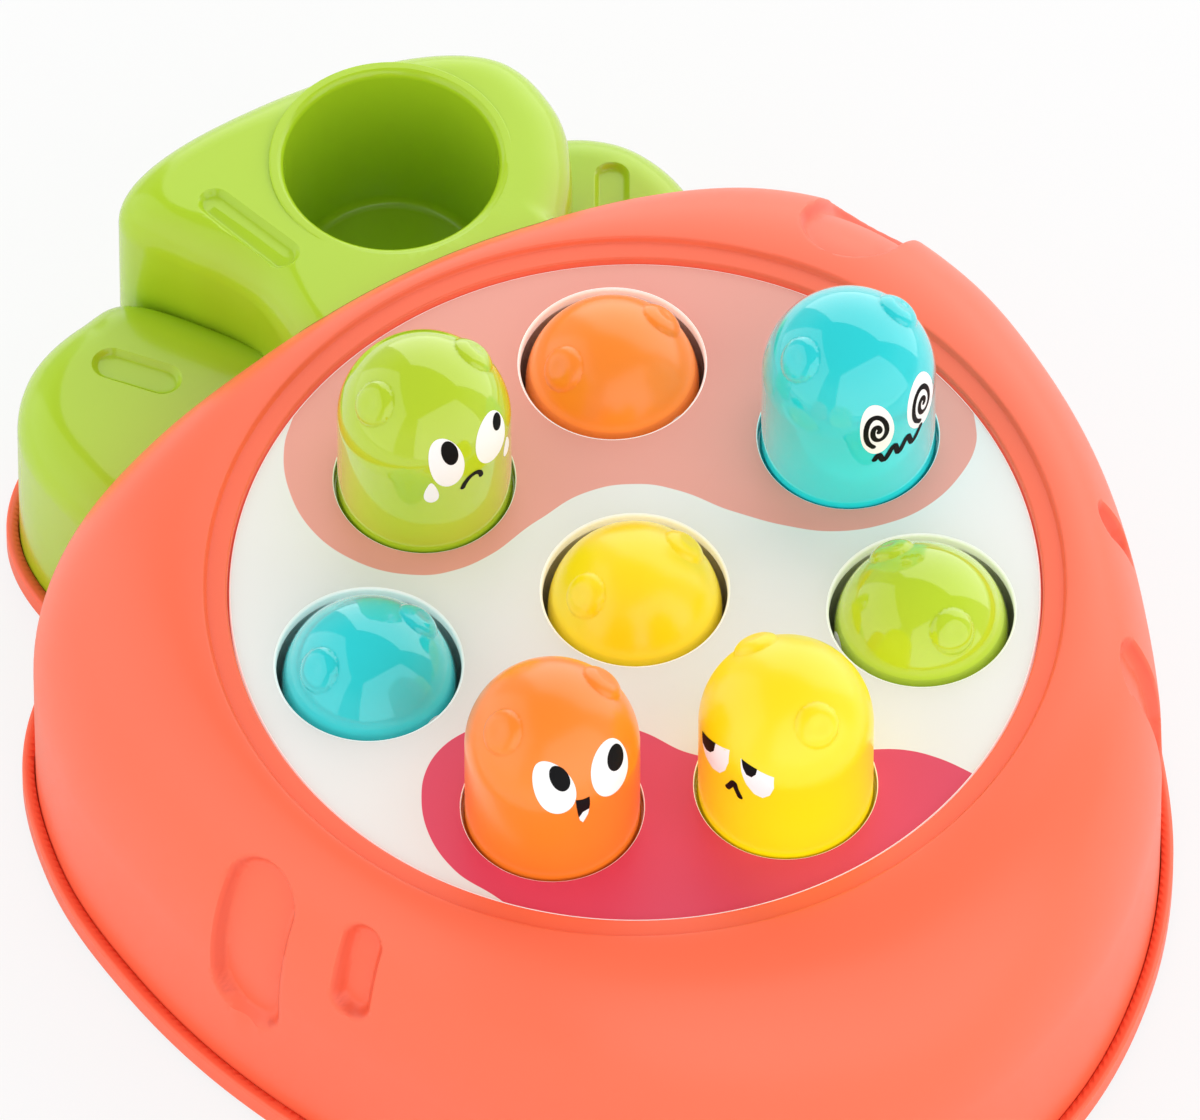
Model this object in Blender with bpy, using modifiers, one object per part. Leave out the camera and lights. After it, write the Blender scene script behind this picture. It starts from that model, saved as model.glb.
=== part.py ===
# Carrot-shaped mole pounding game: eight moles joined in four see-saw pairs.
# Press a raised mole and its rocker lifts the other mole of the same colour.
# Metres, +Z up, standing on the floor at z = 0. The leaf points to +Y, the carrot's tip to -Y.

from collections import namedtuple
from math import asin, atan, atan2, cos, degrees, hypot, pi, radians, sin

import bmesh
import bpy
from mathutils import Matrix, Vector

# Mole caps and their holes
mole_radius = 0.0179
mole_wall = 0.0022
hole_clearance = 0.0011
hole_rim_round = 0.0009
stroke = 0.0280
dome_lift = 0.0218           # dome centre above the panel while the mole is up
flange_overlap = 0.0015      # how far the cap's flange reaches under the rim of the hole
flange_height = 0.0017
lug_width = 0.0022
lug_height = 0.0014
lug_reach = 0.0010
ear_radius = 0.0045
ear_rise = 0.0012
ear_bump_radius = 0.0021
ear_elevation = 47

# Stems under the caps
stem_radius = 0.0040
stem_plate = 0.0020
stem_floor_gap = 0.0081      # stem end above the tray floor while the mole is down

# Panel
ring_radius = 0.0589         # panel centre to the farthest moles
panel_height = 0.0780        # top face above the floor
panel_thickness = 0.0024
sleeve_wall = 0.0014
sleeve_clearance = 0.0004
sleeve_margin = 0.0008       # sleeve end below the flange of a mole that is down
slot_side_gap = 0.0005
slot_top_margin = 0.0002
seat_width = 0.0020
ledge_drop = 0.0012          # ledge round the panel above the panel's face
panel_post_radius = 0.0040
panel_post_inset = 0.0093

# Carrot body
side_shoulder = 0.0284       # opening round the panel to the body's widest place
front_shoulder = 0.0404      # opening to the carrot's tip
back_shoulder = 0.0189
body_wall = 0.0032
body_straight_height = 0.0400
ledge_width = 0.0050
crown_step = 0.0006
body_boss_radius = 0.0042
body_boss_inset = 0.0100
wrinkle_depth = 0.0016
wrinkle_length = 0.0450       # longest of the wrinkles, and the widest below
wrinkle_width = 0.0210

# Leaf
leaf_wall = 0.0024
lobe_round = 0.0085
middle_lobe_height = 0.0760
middle_lobe_fall = 0.0030    # drop of the middle lobe's top from front to back
side_lobe_height = 0.0530
side_lobe_fall = 0.0030
cup_radius = 0.02235
cup_lip = 0.0021
cup_depth = 0.0440
cup_draft = 0.0015
leaf_boss_radius = 0.0040
groove_depth = 0.0014
groove_length = 0.0260
groove_width = 0.0075

# Tray
foot_height = 0.0015
tray_floor = 0.0024
lip_height = 0.0055
lip_width = 0.0023
lip_gap = 0.0005
lip_round = 0.0007
well_radius = 0.0055
well_height = 0.0075

# Rubber feet, screws and pins
rubber_radius = 0.0065
rubber_seat = 0.0008
rubber_round = 0.0006
screw_head_radius = 0.0031
screw_head_height = 0.0020
screw_radius = 0.00145
screw_length = 0.0110
screw_seat = 0.0020          # plastic left under a screw head
pin_radius = 0.0015

# Rockers
arm_width = 0.0060
arm_height = 0.0040
hub_radius = 0.0035
tip_height = 0.0022
pad_width = 0.0070
post_width = 0.0070
post_thickness = 0.0040
post_clearance = 0.0006
teal_pivot_height = 0.0105
orange_pivot_height = 0.0208
green_pivot_height = 0.0347
yellow_pivot_height = 0.0215
post_reach = 0.0200          # from the middle of the teal pair to its far post
green_pad_radius = 0.0030
overhung_hub = 0.0056        # the teal hub, held in front of both its posts
tongue_width = 0.0040        # joins that hub to the arm

# Clearances
gap = 0.0003
overrun = 0.0020

# Facets
turned_steps = 16
small_steps = 8
ring_steps = 24
outline_steps = 2            # between two points of an outline

# How far up the shoulder the body's bosses reach before they run into it
body_boss_share = 0.47

# Angles in degrees about the panel's centre
panel_post_angles = (36.75, 141.5, 246.0, 297.0)
body_boss_angles = (12.0, 168.0, 232.0, 308.0)
pad_margin_angle = 2.0

Mole = namedtuple("Mole", "name colour ring_share angle raised facing")
moles = (
    Mole("teal_up", "teal", 1.000, 10.4, True, 0),
    Mole("teal_down", "teal", 0.978, 167.5, False, 0),
    Mole("orange_up", "orange", 0.969, 221.3, True, 0),
    Mole("orange_down", "orange", 0.981, 63.1, False, 0),
    Mole("green_up", "green", 0.876, 115.4, True, 0),
    Mole("green_down", "green", 1.000, 323.5, False, 270),
    Mole("yellow_up", "yellow", 0.981, 270.6, True, 270),
    Mole("yellow_down", "yellow", 0.000, 0.0, False, 0),
)

# Half outlines from the back to the tip: shares of the half width, and of the back or front reach
body_outline_shares = (
    (0.000, 1.000), (0.280, 0.990), (0.545, 0.951), (0.765, 0.853), (0.915, 0.681),
    (0.992, 0.426), (0.998, 0.157), (0.960, -0.105), (0.871, -0.347), (0.746, -0.573),
    (0.563, -0.766), (0.313, -0.919),
)

# Leaf outlines and places, as shares of the body's half width, from the panel centre
middle_lobe_shares = (
    (-0.170, 0.720), (-0.215, 1.001), (-0.275, 1.131), (-0.333, 1.256), (-0.285, 1.333),
    (-0.125, 1.371), (0.115, 1.366), (0.325, 1.316), (0.463, 1.221), (0.500, 1.081),
    (0.480, 0.941), (0.420, 0.720),
)
left_lobe_shares = (
    (-0.280, 0.660), (-0.500, 0.680), (-0.650, 0.780), (-0.690, 0.950), (-0.668, 1.090),
    (-0.580, 1.195), (-0.450, 1.240), (-0.330, 1.225), (-0.180, 1.000), (-0.100, 0.760),
)
right_lobe_shares = (
    (0.100, 0.760), (0.240, 1.000), (0.400, 1.155), (0.530, 1.145), (0.630, 1.065),
    (0.672, 0.940), (0.655, 0.800), (0.560, 0.700), (0.400, 0.650), (0.240, 0.660),
)
cup_shares = (0.141, 1.091)
leaf_boss_shares = ((-0.560, 1.005), (0.555, 1.015))
rubber_foot_shares = ((-0.730, 0.420), (0.730, 0.420), (-0.420, -0.700), (0.420, -0.700))

# One groove for each lobe; length and width as shares of the groove sizes, angle in degrees
Groove = namedtuple("Groove", "name centre_shares length_share width_share angle")
grooves = (
    Groove("middle_groove", (-0.171, 1.083), 1.00, 0.87, 104.7),
    Groove("left_groove", (-0.445, 1.033), 0.73, 1.00, 126.6),
    Groove("right_groove", (0.480, 1.000), 0.73, 1.00, 53.4),
)

# Wrinkles in the shoulder; height as a share of the panel's, length and width of the wrinkle sizes
Wrinkle = namedtuple("Wrinkle", "angle height_share length_share width_share")
wrinkles = (
    Wrinkle(33.2, 0.890, 0.89, 1.00),
    Wrinkle(341.5, 0.850, 0.39, 0.43),
    Wrinkle(321.3, 0.720, 0.80, 0.63),
    Wrinkle(190.2, 0.645, 1.00, 0.86),
    Wrinkle(205.1, 0.810, 0.52, 0.42),
)

# Posts as shares of their reach along the hinge axis, heading in degrees
Rocker = namedtuple("Rocker", "colour pivot_height front_share back_share heading")
rockers = (
    Rocker("teal", teal_pivot_height, 0.60, 1.00, 0),
    Rocker("orange", orange_pivot_height, -0.70, 0.61, 0),
    Rocker("green", green_pivot_height, -0.60, 0.61, 0),
    Rocker("yellow", yellow_pivot_height, -0.35, 0.35, -90),
)

# Worked out from the sizes above
hole_radius = mole_radius + hole_clearance
flange_radius = hole_radius + flange_overlap
sleeve_bore = flange_radius + sleeve_clearance
sleeve_radius = sleeve_bore + sleeve_wall
seat_radius = ring_radius + sleeve_radius + sleeve_clearance
opening_radius = seat_radius + seat_width
panel_radius = opening_radius - sleeve_clearance
body_half_width = opening_radius + side_shoulder
body_front_reach = opening_radius + front_shoulder
body_back_reach = opening_radius + back_shoulder
panel_underside = panel_height - panel_thickness
ledge_height = panel_height + ledge_drop
crown_height = ledge_height + crown_step
ledge_radius = opening_radius + ledge_width
tray_top = foot_height + tray_floor
shell_bottom = tray_top + gap
well_top = foot_height + well_height
boss_bottom = well_top + gap
cap_bottom = panel_underside - gap - flange_height
skirt_height = panel_height + dome_lift - cap_bottom
stem_end_down = tray_top + stem_floor_gap
stem_length = cap_bottom - stroke - stem_end_down
sleeve_bottom = cap_bottom - stroke - sleeve_margin
pin_hole_radius = pin_radius + gap
panel_post_ring = opening_radius - panel_post_inset

half_points = [(x * body_half_width, y * (body_back_reach if y > 0 else body_front_reach))
               for x, y in body_outline_shares]
lip_outside = lip_gap + lip_width

colours = {
    "coral": (1.000, 0.190, 0.105),
    "leaf_green": (0.430, 0.680, 0.025),
    "white": (0.830, 0.830, 0.800),
    "teal": (0.045, 0.640, 0.680),
    "orange": (1.000, 0.280, 0.030),
    "green": (0.480, 0.670, 0.035),
    "yellow": (1.000, 0.730, 0.012),
    "steel": (0.600, 0.600, 0.620),
    "rubber": (0.055, 0.055, 0.060),
}


def empty_scene():
    for thing in list(bpy.data.objects):
        bpy.data.objects.remove(thing, do_unlink=True)


def new_collection(name):
    group = bpy.data.collections.new(name)
    bpy.context.scene.collection.children.link(group)
    return group


def finish(name, colour, roughness, metallic=0.0):
    material = bpy.data.materials.new(name)
    material.use_nodes = True
    shader = material.node_tree.nodes["Principled BSDF"]
    shader.inputs["Base Color"].default_value = (*colours[colour], 1.0)
    shader.inputs["Roughness"].default_value = roughness
    shader.inputs["Metallic"].default_value = metallic
    material.diffuse_color = (*colours[colour], 1.0)
    return material


def add_object(name, mesh, material=None):
    """A piece goes in the game's collection; a guide, which has no material, in the cutters'."""
    thing = bpy.data.objects.new(name, mesh)
    (pieces if material else cutters).objects.link(thing)
    if material:
        mesh.materials.append(material)
    else:
        thing.hide_render = True
        thing.display_type = "WIRE"
    return thing


def mesh_from(name, shape):
    bmesh.ops.recalc_face_normals(shape, faces=shape.faces)
    mesh = bpy.data.meshes.new(name)
    shape.to_mesh(mesh)
    shape.free()
    mesh.shade_smooth()
    mesh.set_sharp_from_angle(angle=radians(32))
    return mesh


def box(name, low, high, material=None):
    """A box between two corners."""
    shape = bmesh.new()
    size = [b - a for a, b in zip(low, high)]
    middle = [(a + b) / 2 for a, b in zip(low, high)]
    place = Matrix.Translation(middle) @ Matrix.Diagonal((*size, 1))
    bmesh.ops.create_cube(shape, size=1, matrix=place)
    return add_object(name, mesh_from(name, shape), material)


def cylinder(name, radius, bottom, top, x=0, y=0, steps=turned_steps, material=None, end_radius=None):
    """An upright cylinder, or a cone if end_radius gives the radius at its top."""
    shape = bmesh.new()
    place = Matrix.Translation((x, y, (bottom + top) / 2))
    bmesh.ops.create_cone(shape, cap_ends=True, segments=steps, radius1=radius,
                          radius2=end_radius or radius, depth=top - bottom, matrix=place)
    return add_object(name, mesh_from(name, shape), material)


def turned(name, profile, material=None, steps=turned_steps):
    """A profile of (radius, height) points, outer side running down, turned about Z."""
    mesh = bpy.data.meshes.new(name)
    points = [(radius, 0, height) for radius, height in profile]
    mesh.from_pydata(points, [(i, i + 1) for i in range(len(points) - 1)], [])
    thing = add_object(name, mesh, material)
    screw = thing.modifiers.new("turn", "SCREW")
    screw.steps = screw.render_steps = steps
    screw.use_merge_vertices = True
    screw.merge_threshold = 0.00001
    screw.use_smooth_shade = True
    return thing


def loft(name, rings, material=None, closed=False):
    """Faces between rings of equal counts; open ends are capped, or the last ring joins the first."""
    shape = bmesh.new()
    layers = [[shape.verts.new(point) for point in ring] for ring in rings]
    pairs = list(zip(layers, layers[1:]))
    if closed:
        pairs.append((layers[-1], layers[0]))
    for lower, upper in pairs:
        count = len(lower)
        for i in range(count):
            j = (i + 1) % count
            shape.faces.new((lower[i], lower[j], upper[j], upper[i]))
    if not closed:
        shape.faces.new(layers[0])
        shape.faces.new(layers[-1])
    return add_object(name, mesh_from(name, shape), material)


def combine(thing, other, operation):
    step = thing.modifiers.new(other.name, "BOOLEAN")
    step.operation = operation
    step.solver = "EXACT"
    step.object = other


def cut(thing, *others):
    for other in others:
        combine(thing, other, "DIFFERENCE")


def join(thing, *others):
    for other in others:
        combine(thing, other, "UNION")


def smooth_loop(points):
    """A closed Catmull-Rom curve through the points."""
    loop = []
    count = len(points)
    for i in range(count):
        a, b, c, d = (Vector(points[(i + k) % count]) for k in (-1, 0, 1, 2))
        for s in range(outline_steps):
            t = s / outline_steps
            loop.append((2 * b + (c - a) * t + (2 * a - 5 * b + 4 * c - d) * t ** 2
                         + (3 * b - a - 3 * c + d) * t ** 3) / 2)
    return loop


def offset(loop, distance):
    """The anticlockwise loop moved outwards along its normals."""
    moved = []
    for i, point in enumerate(loop):
        along = (loop[(i + 1) % len(loop)] - loop[i - 1]).normalized()
        moved.append(point + Vector((along.y, -along.x)) * distance)
    return moved


def draw_in(loop, distance):
    """The loop drawn towards its middle, which never crosses itself."""
    middle = sum(loop, Vector((0, 0))) / len(loop)
    return [point + (middle - point).normalized() * distance for point in loop]


def on_body(shares):
    """A place given in shares of the body's half width, from the panel centre."""
    return Vector((shares[0] * body_half_width, shares[1] * body_half_width))


def polar(radius, angle):
    return Vector((radius * cos(radians(angle)), radius * sin(radians(angle))))


def body_outline():
    right = half_points + [(0, -body_front_reach)]
    left = [(-x, y) for x, y in half_points[1:]]
    loop = smooth_loop([*right, *reversed(left)])
    return list(reversed(loop))


def lift(loop, height):
    return [(point.x, point.y, height) for point in loop]


def circle_like(loop, radius):
    """Points of a circle at the same angles as the loop's."""
    return [point.normalized() * radius for point in loop]


def blend(first, second, share):
    return [a.lerp(b, share) for a, b in zip(first, second)]


def shoulder(outer, inner, low, high, steps):
    """Rings of a quarter ellipse that rises from the outer loop to the inner one."""
    rings = []
    for i in range(1, steps + 1):
        turn = pi / 2 * i / steps
        rings.append(lift(blend(outer, inner, 1 - cos(turn)), low + (high - low) * sin(turn)))
    return rings


def body_solid(name, grow, bottom, steps=5):
    """The body's outer form, filled and grown on all sides, for cutting what fits round it."""
    outer = offset(outline, grow)
    top = circle_like(outline, ledge_radius + grow)
    rings = [lift(outer, bottom), lift(outer, body_straight_height)]
    rings += shoulder(outer, top, body_straight_height, crown_height + grow, steps)
    return loft(name, rings)


def boss(name, radius, bottom, top, place):
    """A screw boss and its pilot hole."""
    solid = cylinder(name, radius, bottom, top, place.x, place.y, 10)
    pilot_top = screw_start + screw_head_height + screw_length + overrun
    pilot = cylinder(name + "_pilot", screw_radius + gap, bottom - overrun, pilot_top,
                     place.x, place.y, small_steps)
    return solid, pilot


def make_body():
    """One closed section swept round the carrot: shoulder, ledge, panel seat and the wall inside."""
    wall = offset(outline, -body_wall)
    crown = circle_like(outline, ledge_radius)
    hidden = opening_radius + body_wall
    inner_top = circle_like(outline, hidden + overrun)
    inner_height = ledge_height - body_wall
    seat_underside = panel_underside - gap - body_wall
    rings = [lift(outline, shell_bottom), lift(outline, body_straight_height)]
    rings += shoulder(outline, crown, body_straight_height, crown_height, 5)
    rings.append(lift(circle_like(outline, ledge_radius - crown_step), ledge_height))
    rings.append(lift(circle_like(outline, opening_radius + crown_step), ledge_height))
    rings.append(lift(circle_like(outline, opening_radius), ledge_height - crown_step))
    rings.append(lift(circle_like(outline, opening_radius), panel_underside - gap))
    rings.append(lift(circle_like(outline, seat_radius), panel_underside - gap))
    rings.append(lift(circle_like(outline, seat_radius), seat_underside))
    rings.append(lift(circle_like(outline, hidden), seat_underside))
    rings.append(lift(circle_like(outline, hidden), inner_height - overrun))
    rings += reversed(shoulder(wall, inner_top, body_straight_height, inner_height, 5))
    rings.append(lift(wall, body_straight_height))
    rings.append(lift(wall, shell_bottom))
    body = loft("carrot_body", rings, coral, closed=True)
    boss_top = body_straight_height + (crown_height - body_straight_height) * body_boss_share
    for number, angle in enumerate(body_boss_angles, 1):
        place = outline_point(angle)
        place = place - place.normalized() * body_boss_inset
        solid, pilot = boss(f"body_boss_{number}", body_boss_radius, boss_bottom, boss_top, place)
        join(body, solid)
        cut(body, pilot)
        screw_places.append(place)
    cup = on_body(cup_shares)
    cut(body, cylinder("cup_notch", cup_outside + gap, cup_floor - leaf_wall - gap, panel_height + cup_depth,
                       cup.x, cup.y, ring_steps))
    for number, wrinkle in enumerate(wrinkles, 1):
        cut(body, make_wrinkle(f"wrinkle_{number}", wrinkle))
    return body


def outline_point(angle):
    """The outline's point nearest to a polar angle in degrees."""
    def miss(point):
        return abs((degrees(atan2(point.y, point.x)) - angle + 180) % 360 - 180)
    return min(outline, key=miss)


def make_wrinkle(name, wrinkle):
    """A slot-shaped cutter that stands on the shoulder and stops at an even depth below it."""
    height = wrinkle.height_share * panel_height
    length = wrinkle.length_share * wrinkle_length
    rim = outline_point(wrinkle.angle)
    rise = (height - body_straight_height) / (crown_height - body_straight_height)
    turn = asin(rise)
    crown = rim.normalized() * ledge_radius
    flat = rim.lerp(crown, 1 - cos(turn))
    run = (rim - crown).length
    out = rim.normalized()
    normal = Vector((out.x * cos(turn) / run, out.y * cos(turn) / run,
                     sin(turn) / (crown_height - body_straight_height))).normalized()
    centre = Vector((flat.x, flat.y, height))
    side = Vector((-out.y, out.x, 0))
    down = side.cross(normal)
    half = wrinkle.width_share * wrinkle_width / 2
    straight = length / 2 - half
    ring = []
    for end in (1, -1):
        for i in range(7):
            angle = pi * i / 6 - pi / 2
            ring.append((end * (straight + half * cos(angle)), end * half * sin(angle)))
    place = Matrix((side, down, normal)).transposed().to_4x4()
    place.translation = centre
    slot = loft(name, [[place @ Vector((across, along, z)) for along, across in ring]
                       for z in (-length, length)])
    cut(slot, wrinkle_floor)
    return slot


def lobe(name, shares, height, fall, shrink, bottom, material=None):
    """A rounded lobe whose top falls away from the body."""
    loop = draw_in(smooth_loop([on_body(share) for share in reversed(shares)]), shrink)
    back = max(point.y for point in loop)
    front = min(point.y for point in loop)
    round_over = lobe_round - shrink
    rings = [lift(loop, bottom)]
    for i in range(5):
        turn = pi / 2 * i / 4
        ring = draw_in(loop, round_over * (1 - cos(turn)))
        rings.append([(p.x, p.y, height - shrink - fall * (p.y - front) / (back - front)
                       - round_over * (1 - sin(turn))) for p in ring])
    return loft(name, rings, material)


lobes = (
    ("middle_lobe", middle_lobe_shares, middle_lobe_height, middle_lobe_fall),
    ("left_lobe", left_lobe_shares, side_lobe_height, side_lobe_fall),
    ("right_lobe", right_lobe_shares, side_lobe_height, side_lobe_fall),
)


def lobe_top(number, y):
    """The height of a lobe's top face at a distance behind the panel's centre."""
    name, shares, height, fall = lobes[number]
    reach = [on_body(share).y for share in shares]
    return height - fall * (y - min(reach)) / (max(reach) - min(reach))


def make_leaf():
    """Three lobes hollowed from below, the cup, the grooves and the screw bosses."""
    name, shares, height, fall = lobes[0]
    leaf = lobe("leaf_top", shares, height, fall, 0, shell_bottom, leaf_green)
    for name, shares, height, fall in lobes[1:]:
        join(leaf, lobe(name, shares, height, fall, 0, shell_bottom))
    cut(leaf, body_solid("leaf_front", gap, 0))
    core = lobe("leaf_core", *lobes[0][1:], leaf_wall, 0)
    for name, shares, height, fall in lobes[1:]:
        join(core, lobe(name + "_core", shares, height, fall, leaf_wall, 0))
    cut(core, body_solid("core_front", gap + leaf_wall, -overrun, 4))
    cut(leaf, core)
    cup = on_body(cup_shares)
    cup_height = middle_lobe_height - lobe_round / 2
    join(leaf, cylinder("cup_wall", cup_outside, cup_floor - leaf_wall, cup_height, cup.x, cup.y,
                        ring_steps))
    mouth = middle_lobe_height + overrun
    lip_height_here = middle_lobe_height - middle_lobe_fall / 2
    bore = turned("cup_bore", (
        (0, mouth), (cup_radius + cup_lip, mouth), (cup_radius + cup_lip, lip_height_here + cup_lip / 2),
        (cup_radius + cup_lip / 3, lip_height_here - cup_lip / 3), (cup_radius, lip_height_here - cup_lip),
        (cup_radius - cup_draft, cup_floor + cup_lip), (cup_radius - cup_draft - cup_lip, cup_floor),
        (0, cup_floor)), steps=ring_steps)
    bore.location = (cup.x, cup.y, 0)
    cut(leaf, bore)
    for groove in grooves:
        cut(leaf, make_groove(groove))
    for number, shares in enumerate(leaf_boss_shares, 1):
        place = on_body(shares)
        top = lobe_top(number, place.y) - leaf_wall / 2
        solid, pilot = boss(f"leaf_boss_{number}", leaf_boss_radius, boss_bottom, top, place)
        join(leaf, solid)
        cut(leaf, pilot)
        screw_places.append(place)
    return leaf


def make_groove(groove):
    """A slot with round ends, cut to an even depth in the top of its lobe."""
    centre = on_body(groove.centre_shares)
    number = grooves.index(groove)
    half = groove.width_share * groove_width / 2
    straight = groove.length_share * groove_length / 2 - half
    along = polar(1, groove.angle)
    across = Vector((-along.y, along.x))
    rings = [[], []]
    for end in (1, -1):
        for i in range(7):
            angle = pi * i / 6 - pi / 2
            point = centre + along * end * (straight + half * cos(angle)) + across * end * half * sin(angle)
            top = lobe_top(number, point.y)
            rings[0].append((point.x, point.y, top - groove_depth))
            rings[1].append((point.x, point.y, top + overrun))
    return loft(groove.name, rings)


def mole_place(mole):
    return polar(ring_radius * mole.ring_share, mole.angle)


def make_panel():
    """The plate, a sleeve under each hole with its four guide slots, and four long screw posts."""
    edge = circle_like(outline, panel_radius)
    panel = loft("mole_panel", [lift(edge, panel_underside), lift(edge, panel_height)], white)
    for mole in moles:
        spot = mole_place(mole)
        join(panel, cylinder(mole.name + "_sleeve", sleeve_radius, sleeve_bottom,
                             panel_height - panel_thickness / 2, spot.x, spot.y, turned_steps))
    for number, angle in enumerate(panel_post_angles, 1):
        place = polar(panel_post_ring, angle)
        top = panel_height - panel_thickness / 2
        solid, pilot = boss(f"panel_post_{number}", panel_post_radius, boss_bottom, top, place)
        join(panel, solid)
        cut(panel, pilot)
        screw_places.append(place)
    for mole in moles:
        spot = mole_place(mole)
        bore = turned(mole.name + "_bore", (
            (0, panel_height + overrun), (hole_radius + hole_rim_round, panel_height + overrun),
            (hole_radius + hole_rim_round, panel_height), (hole_radius, panel_height - hole_rim_round),
            (hole_radius, panel_underside), (sleeve_bore, panel_underside),
            (sleeve_bore, sleeve_bottom - overrun), (0, sleeve_bottom - overrun)))
        bore.location = (spot.x, spot.y, 0)
        slots = cross(mole.name + "_slots", lug_width / 2 + slot_side_gap, hole_radius,
                      sleeve_radius + overrun, sleeve_bottom - overrun, panel_underside - slot_top_margin)
        slots.location = (spot.x, spot.y, 0)
        cut(panel, bore, slots)
    return panel


def cross(name, half_width, inner, outer, bottom, top):
    """Four blocks round a mole's axis, between its ears and its face."""
    shape = bmesh.new()
    for quarter in range(4):
        place = (Matrix.Rotation(radians(45 + 90 * quarter), 4, "Z")
                 @ Matrix.Translation(((inner + outer) / 2, 0, (bottom + top) / 2))
                 @ Matrix.Diagonal((outer - inner, 2 * half_width, top - bottom, 1)))
        bmesh.ops.create_cube(shape, size=1, matrix=place)
    return add_object(name, mesh_from(name, shape))


def arc(radius, centre_height, steps, inside=False):
    """Points of a quarter circle from the axis down to the equator, or back up on the inside."""
    points = [(radius * sin(pi / 2 * i / steps), centre_height + radius * cos(pi / 2 * i / steps))
              for i in range(steps + 1)]
    points[0] = (0, centre_height + radius)
    return list(reversed(points)) if inside else points


def make_mole(mole):
    """A hollow dome with two ears, a flange that holds it under the panel, and four guide lugs."""
    spot = mole_place(mole)
    height = cap_bottom if mole.raised else cap_bottom - stroke
    profile = arc(mole_radius, skirt_height, 4)
    profile += [(mole_radius, flange_height), (flange_radius, flange_height), (flange_radius, 0),
                (mole_radius - mole_wall, 0)]
    profile += arc(mole_radius - mole_wall, skirt_height, 2, inside=True)
    cap = turned("mole_" + mole.name, profile, caps[mole.colour])
    cap.location = (spot.x, spot.y, height)
    cap.rotation_euler = (0, 0, radians(mole.facing))
    lugs = cross(mole.name + "_lugs", lug_width / 2, mole_radius - mole_wall / 2,
                 flange_radius + lug_reach, 0, lug_height)
    lugs.parent = cap
    join(cap, lugs)
    for side in (0, 180):
        ear = turned(f"{mole.name}_ear_{side}", (
            (0, ear_rise), (ear_bump_radius, ear_rise / 2), (ear_radius * 3 / 4, ear_rise),
            (ear_radius, -mole_wall / 2), (0, -mole_wall / 2)), steps=small_steps)
        out = Vector((cos(radians(side)) * cos(radians(ear_elevation)), 0, sin(radians(ear_elevation))))
        ear.parent = cap
        ear.location = out * mole_radius + Vector((0, 0, skirt_height))
        ear.rotation_mode = "QUATERNION"
        ear.rotation_quaternion = out.to_track_quat("Z", "Y")
        join(cap, ear)
    return cap


def make_stem(mole):
    """The plate that closes a cap and the stem that stands on the rocker."""
    spot = mole_place(mole)
    height = cap_bottom if mole.raised else cap_bottom - stroke
    inside = mole_radius - mole_wall - gap
    profile = ((0, stem_plate), (inside, stem_plate), (inside, 0), (stem_radius, 0),
               (stem_radius, -stem_length), (0, -stem_length))
    stem = turned("stem_" + mole.name, profile, white, steps=12)
    stem.location = (spot.x, spot.y, height)
    return stem


def pair(colour):
    """The raised and the lowered mole of one colour."""
    up, down = (next(m for m in moles if m.colour == colour and m.raised is state)
                for state in (True, False))
    return mole_place(up), mole_place(down)


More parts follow.
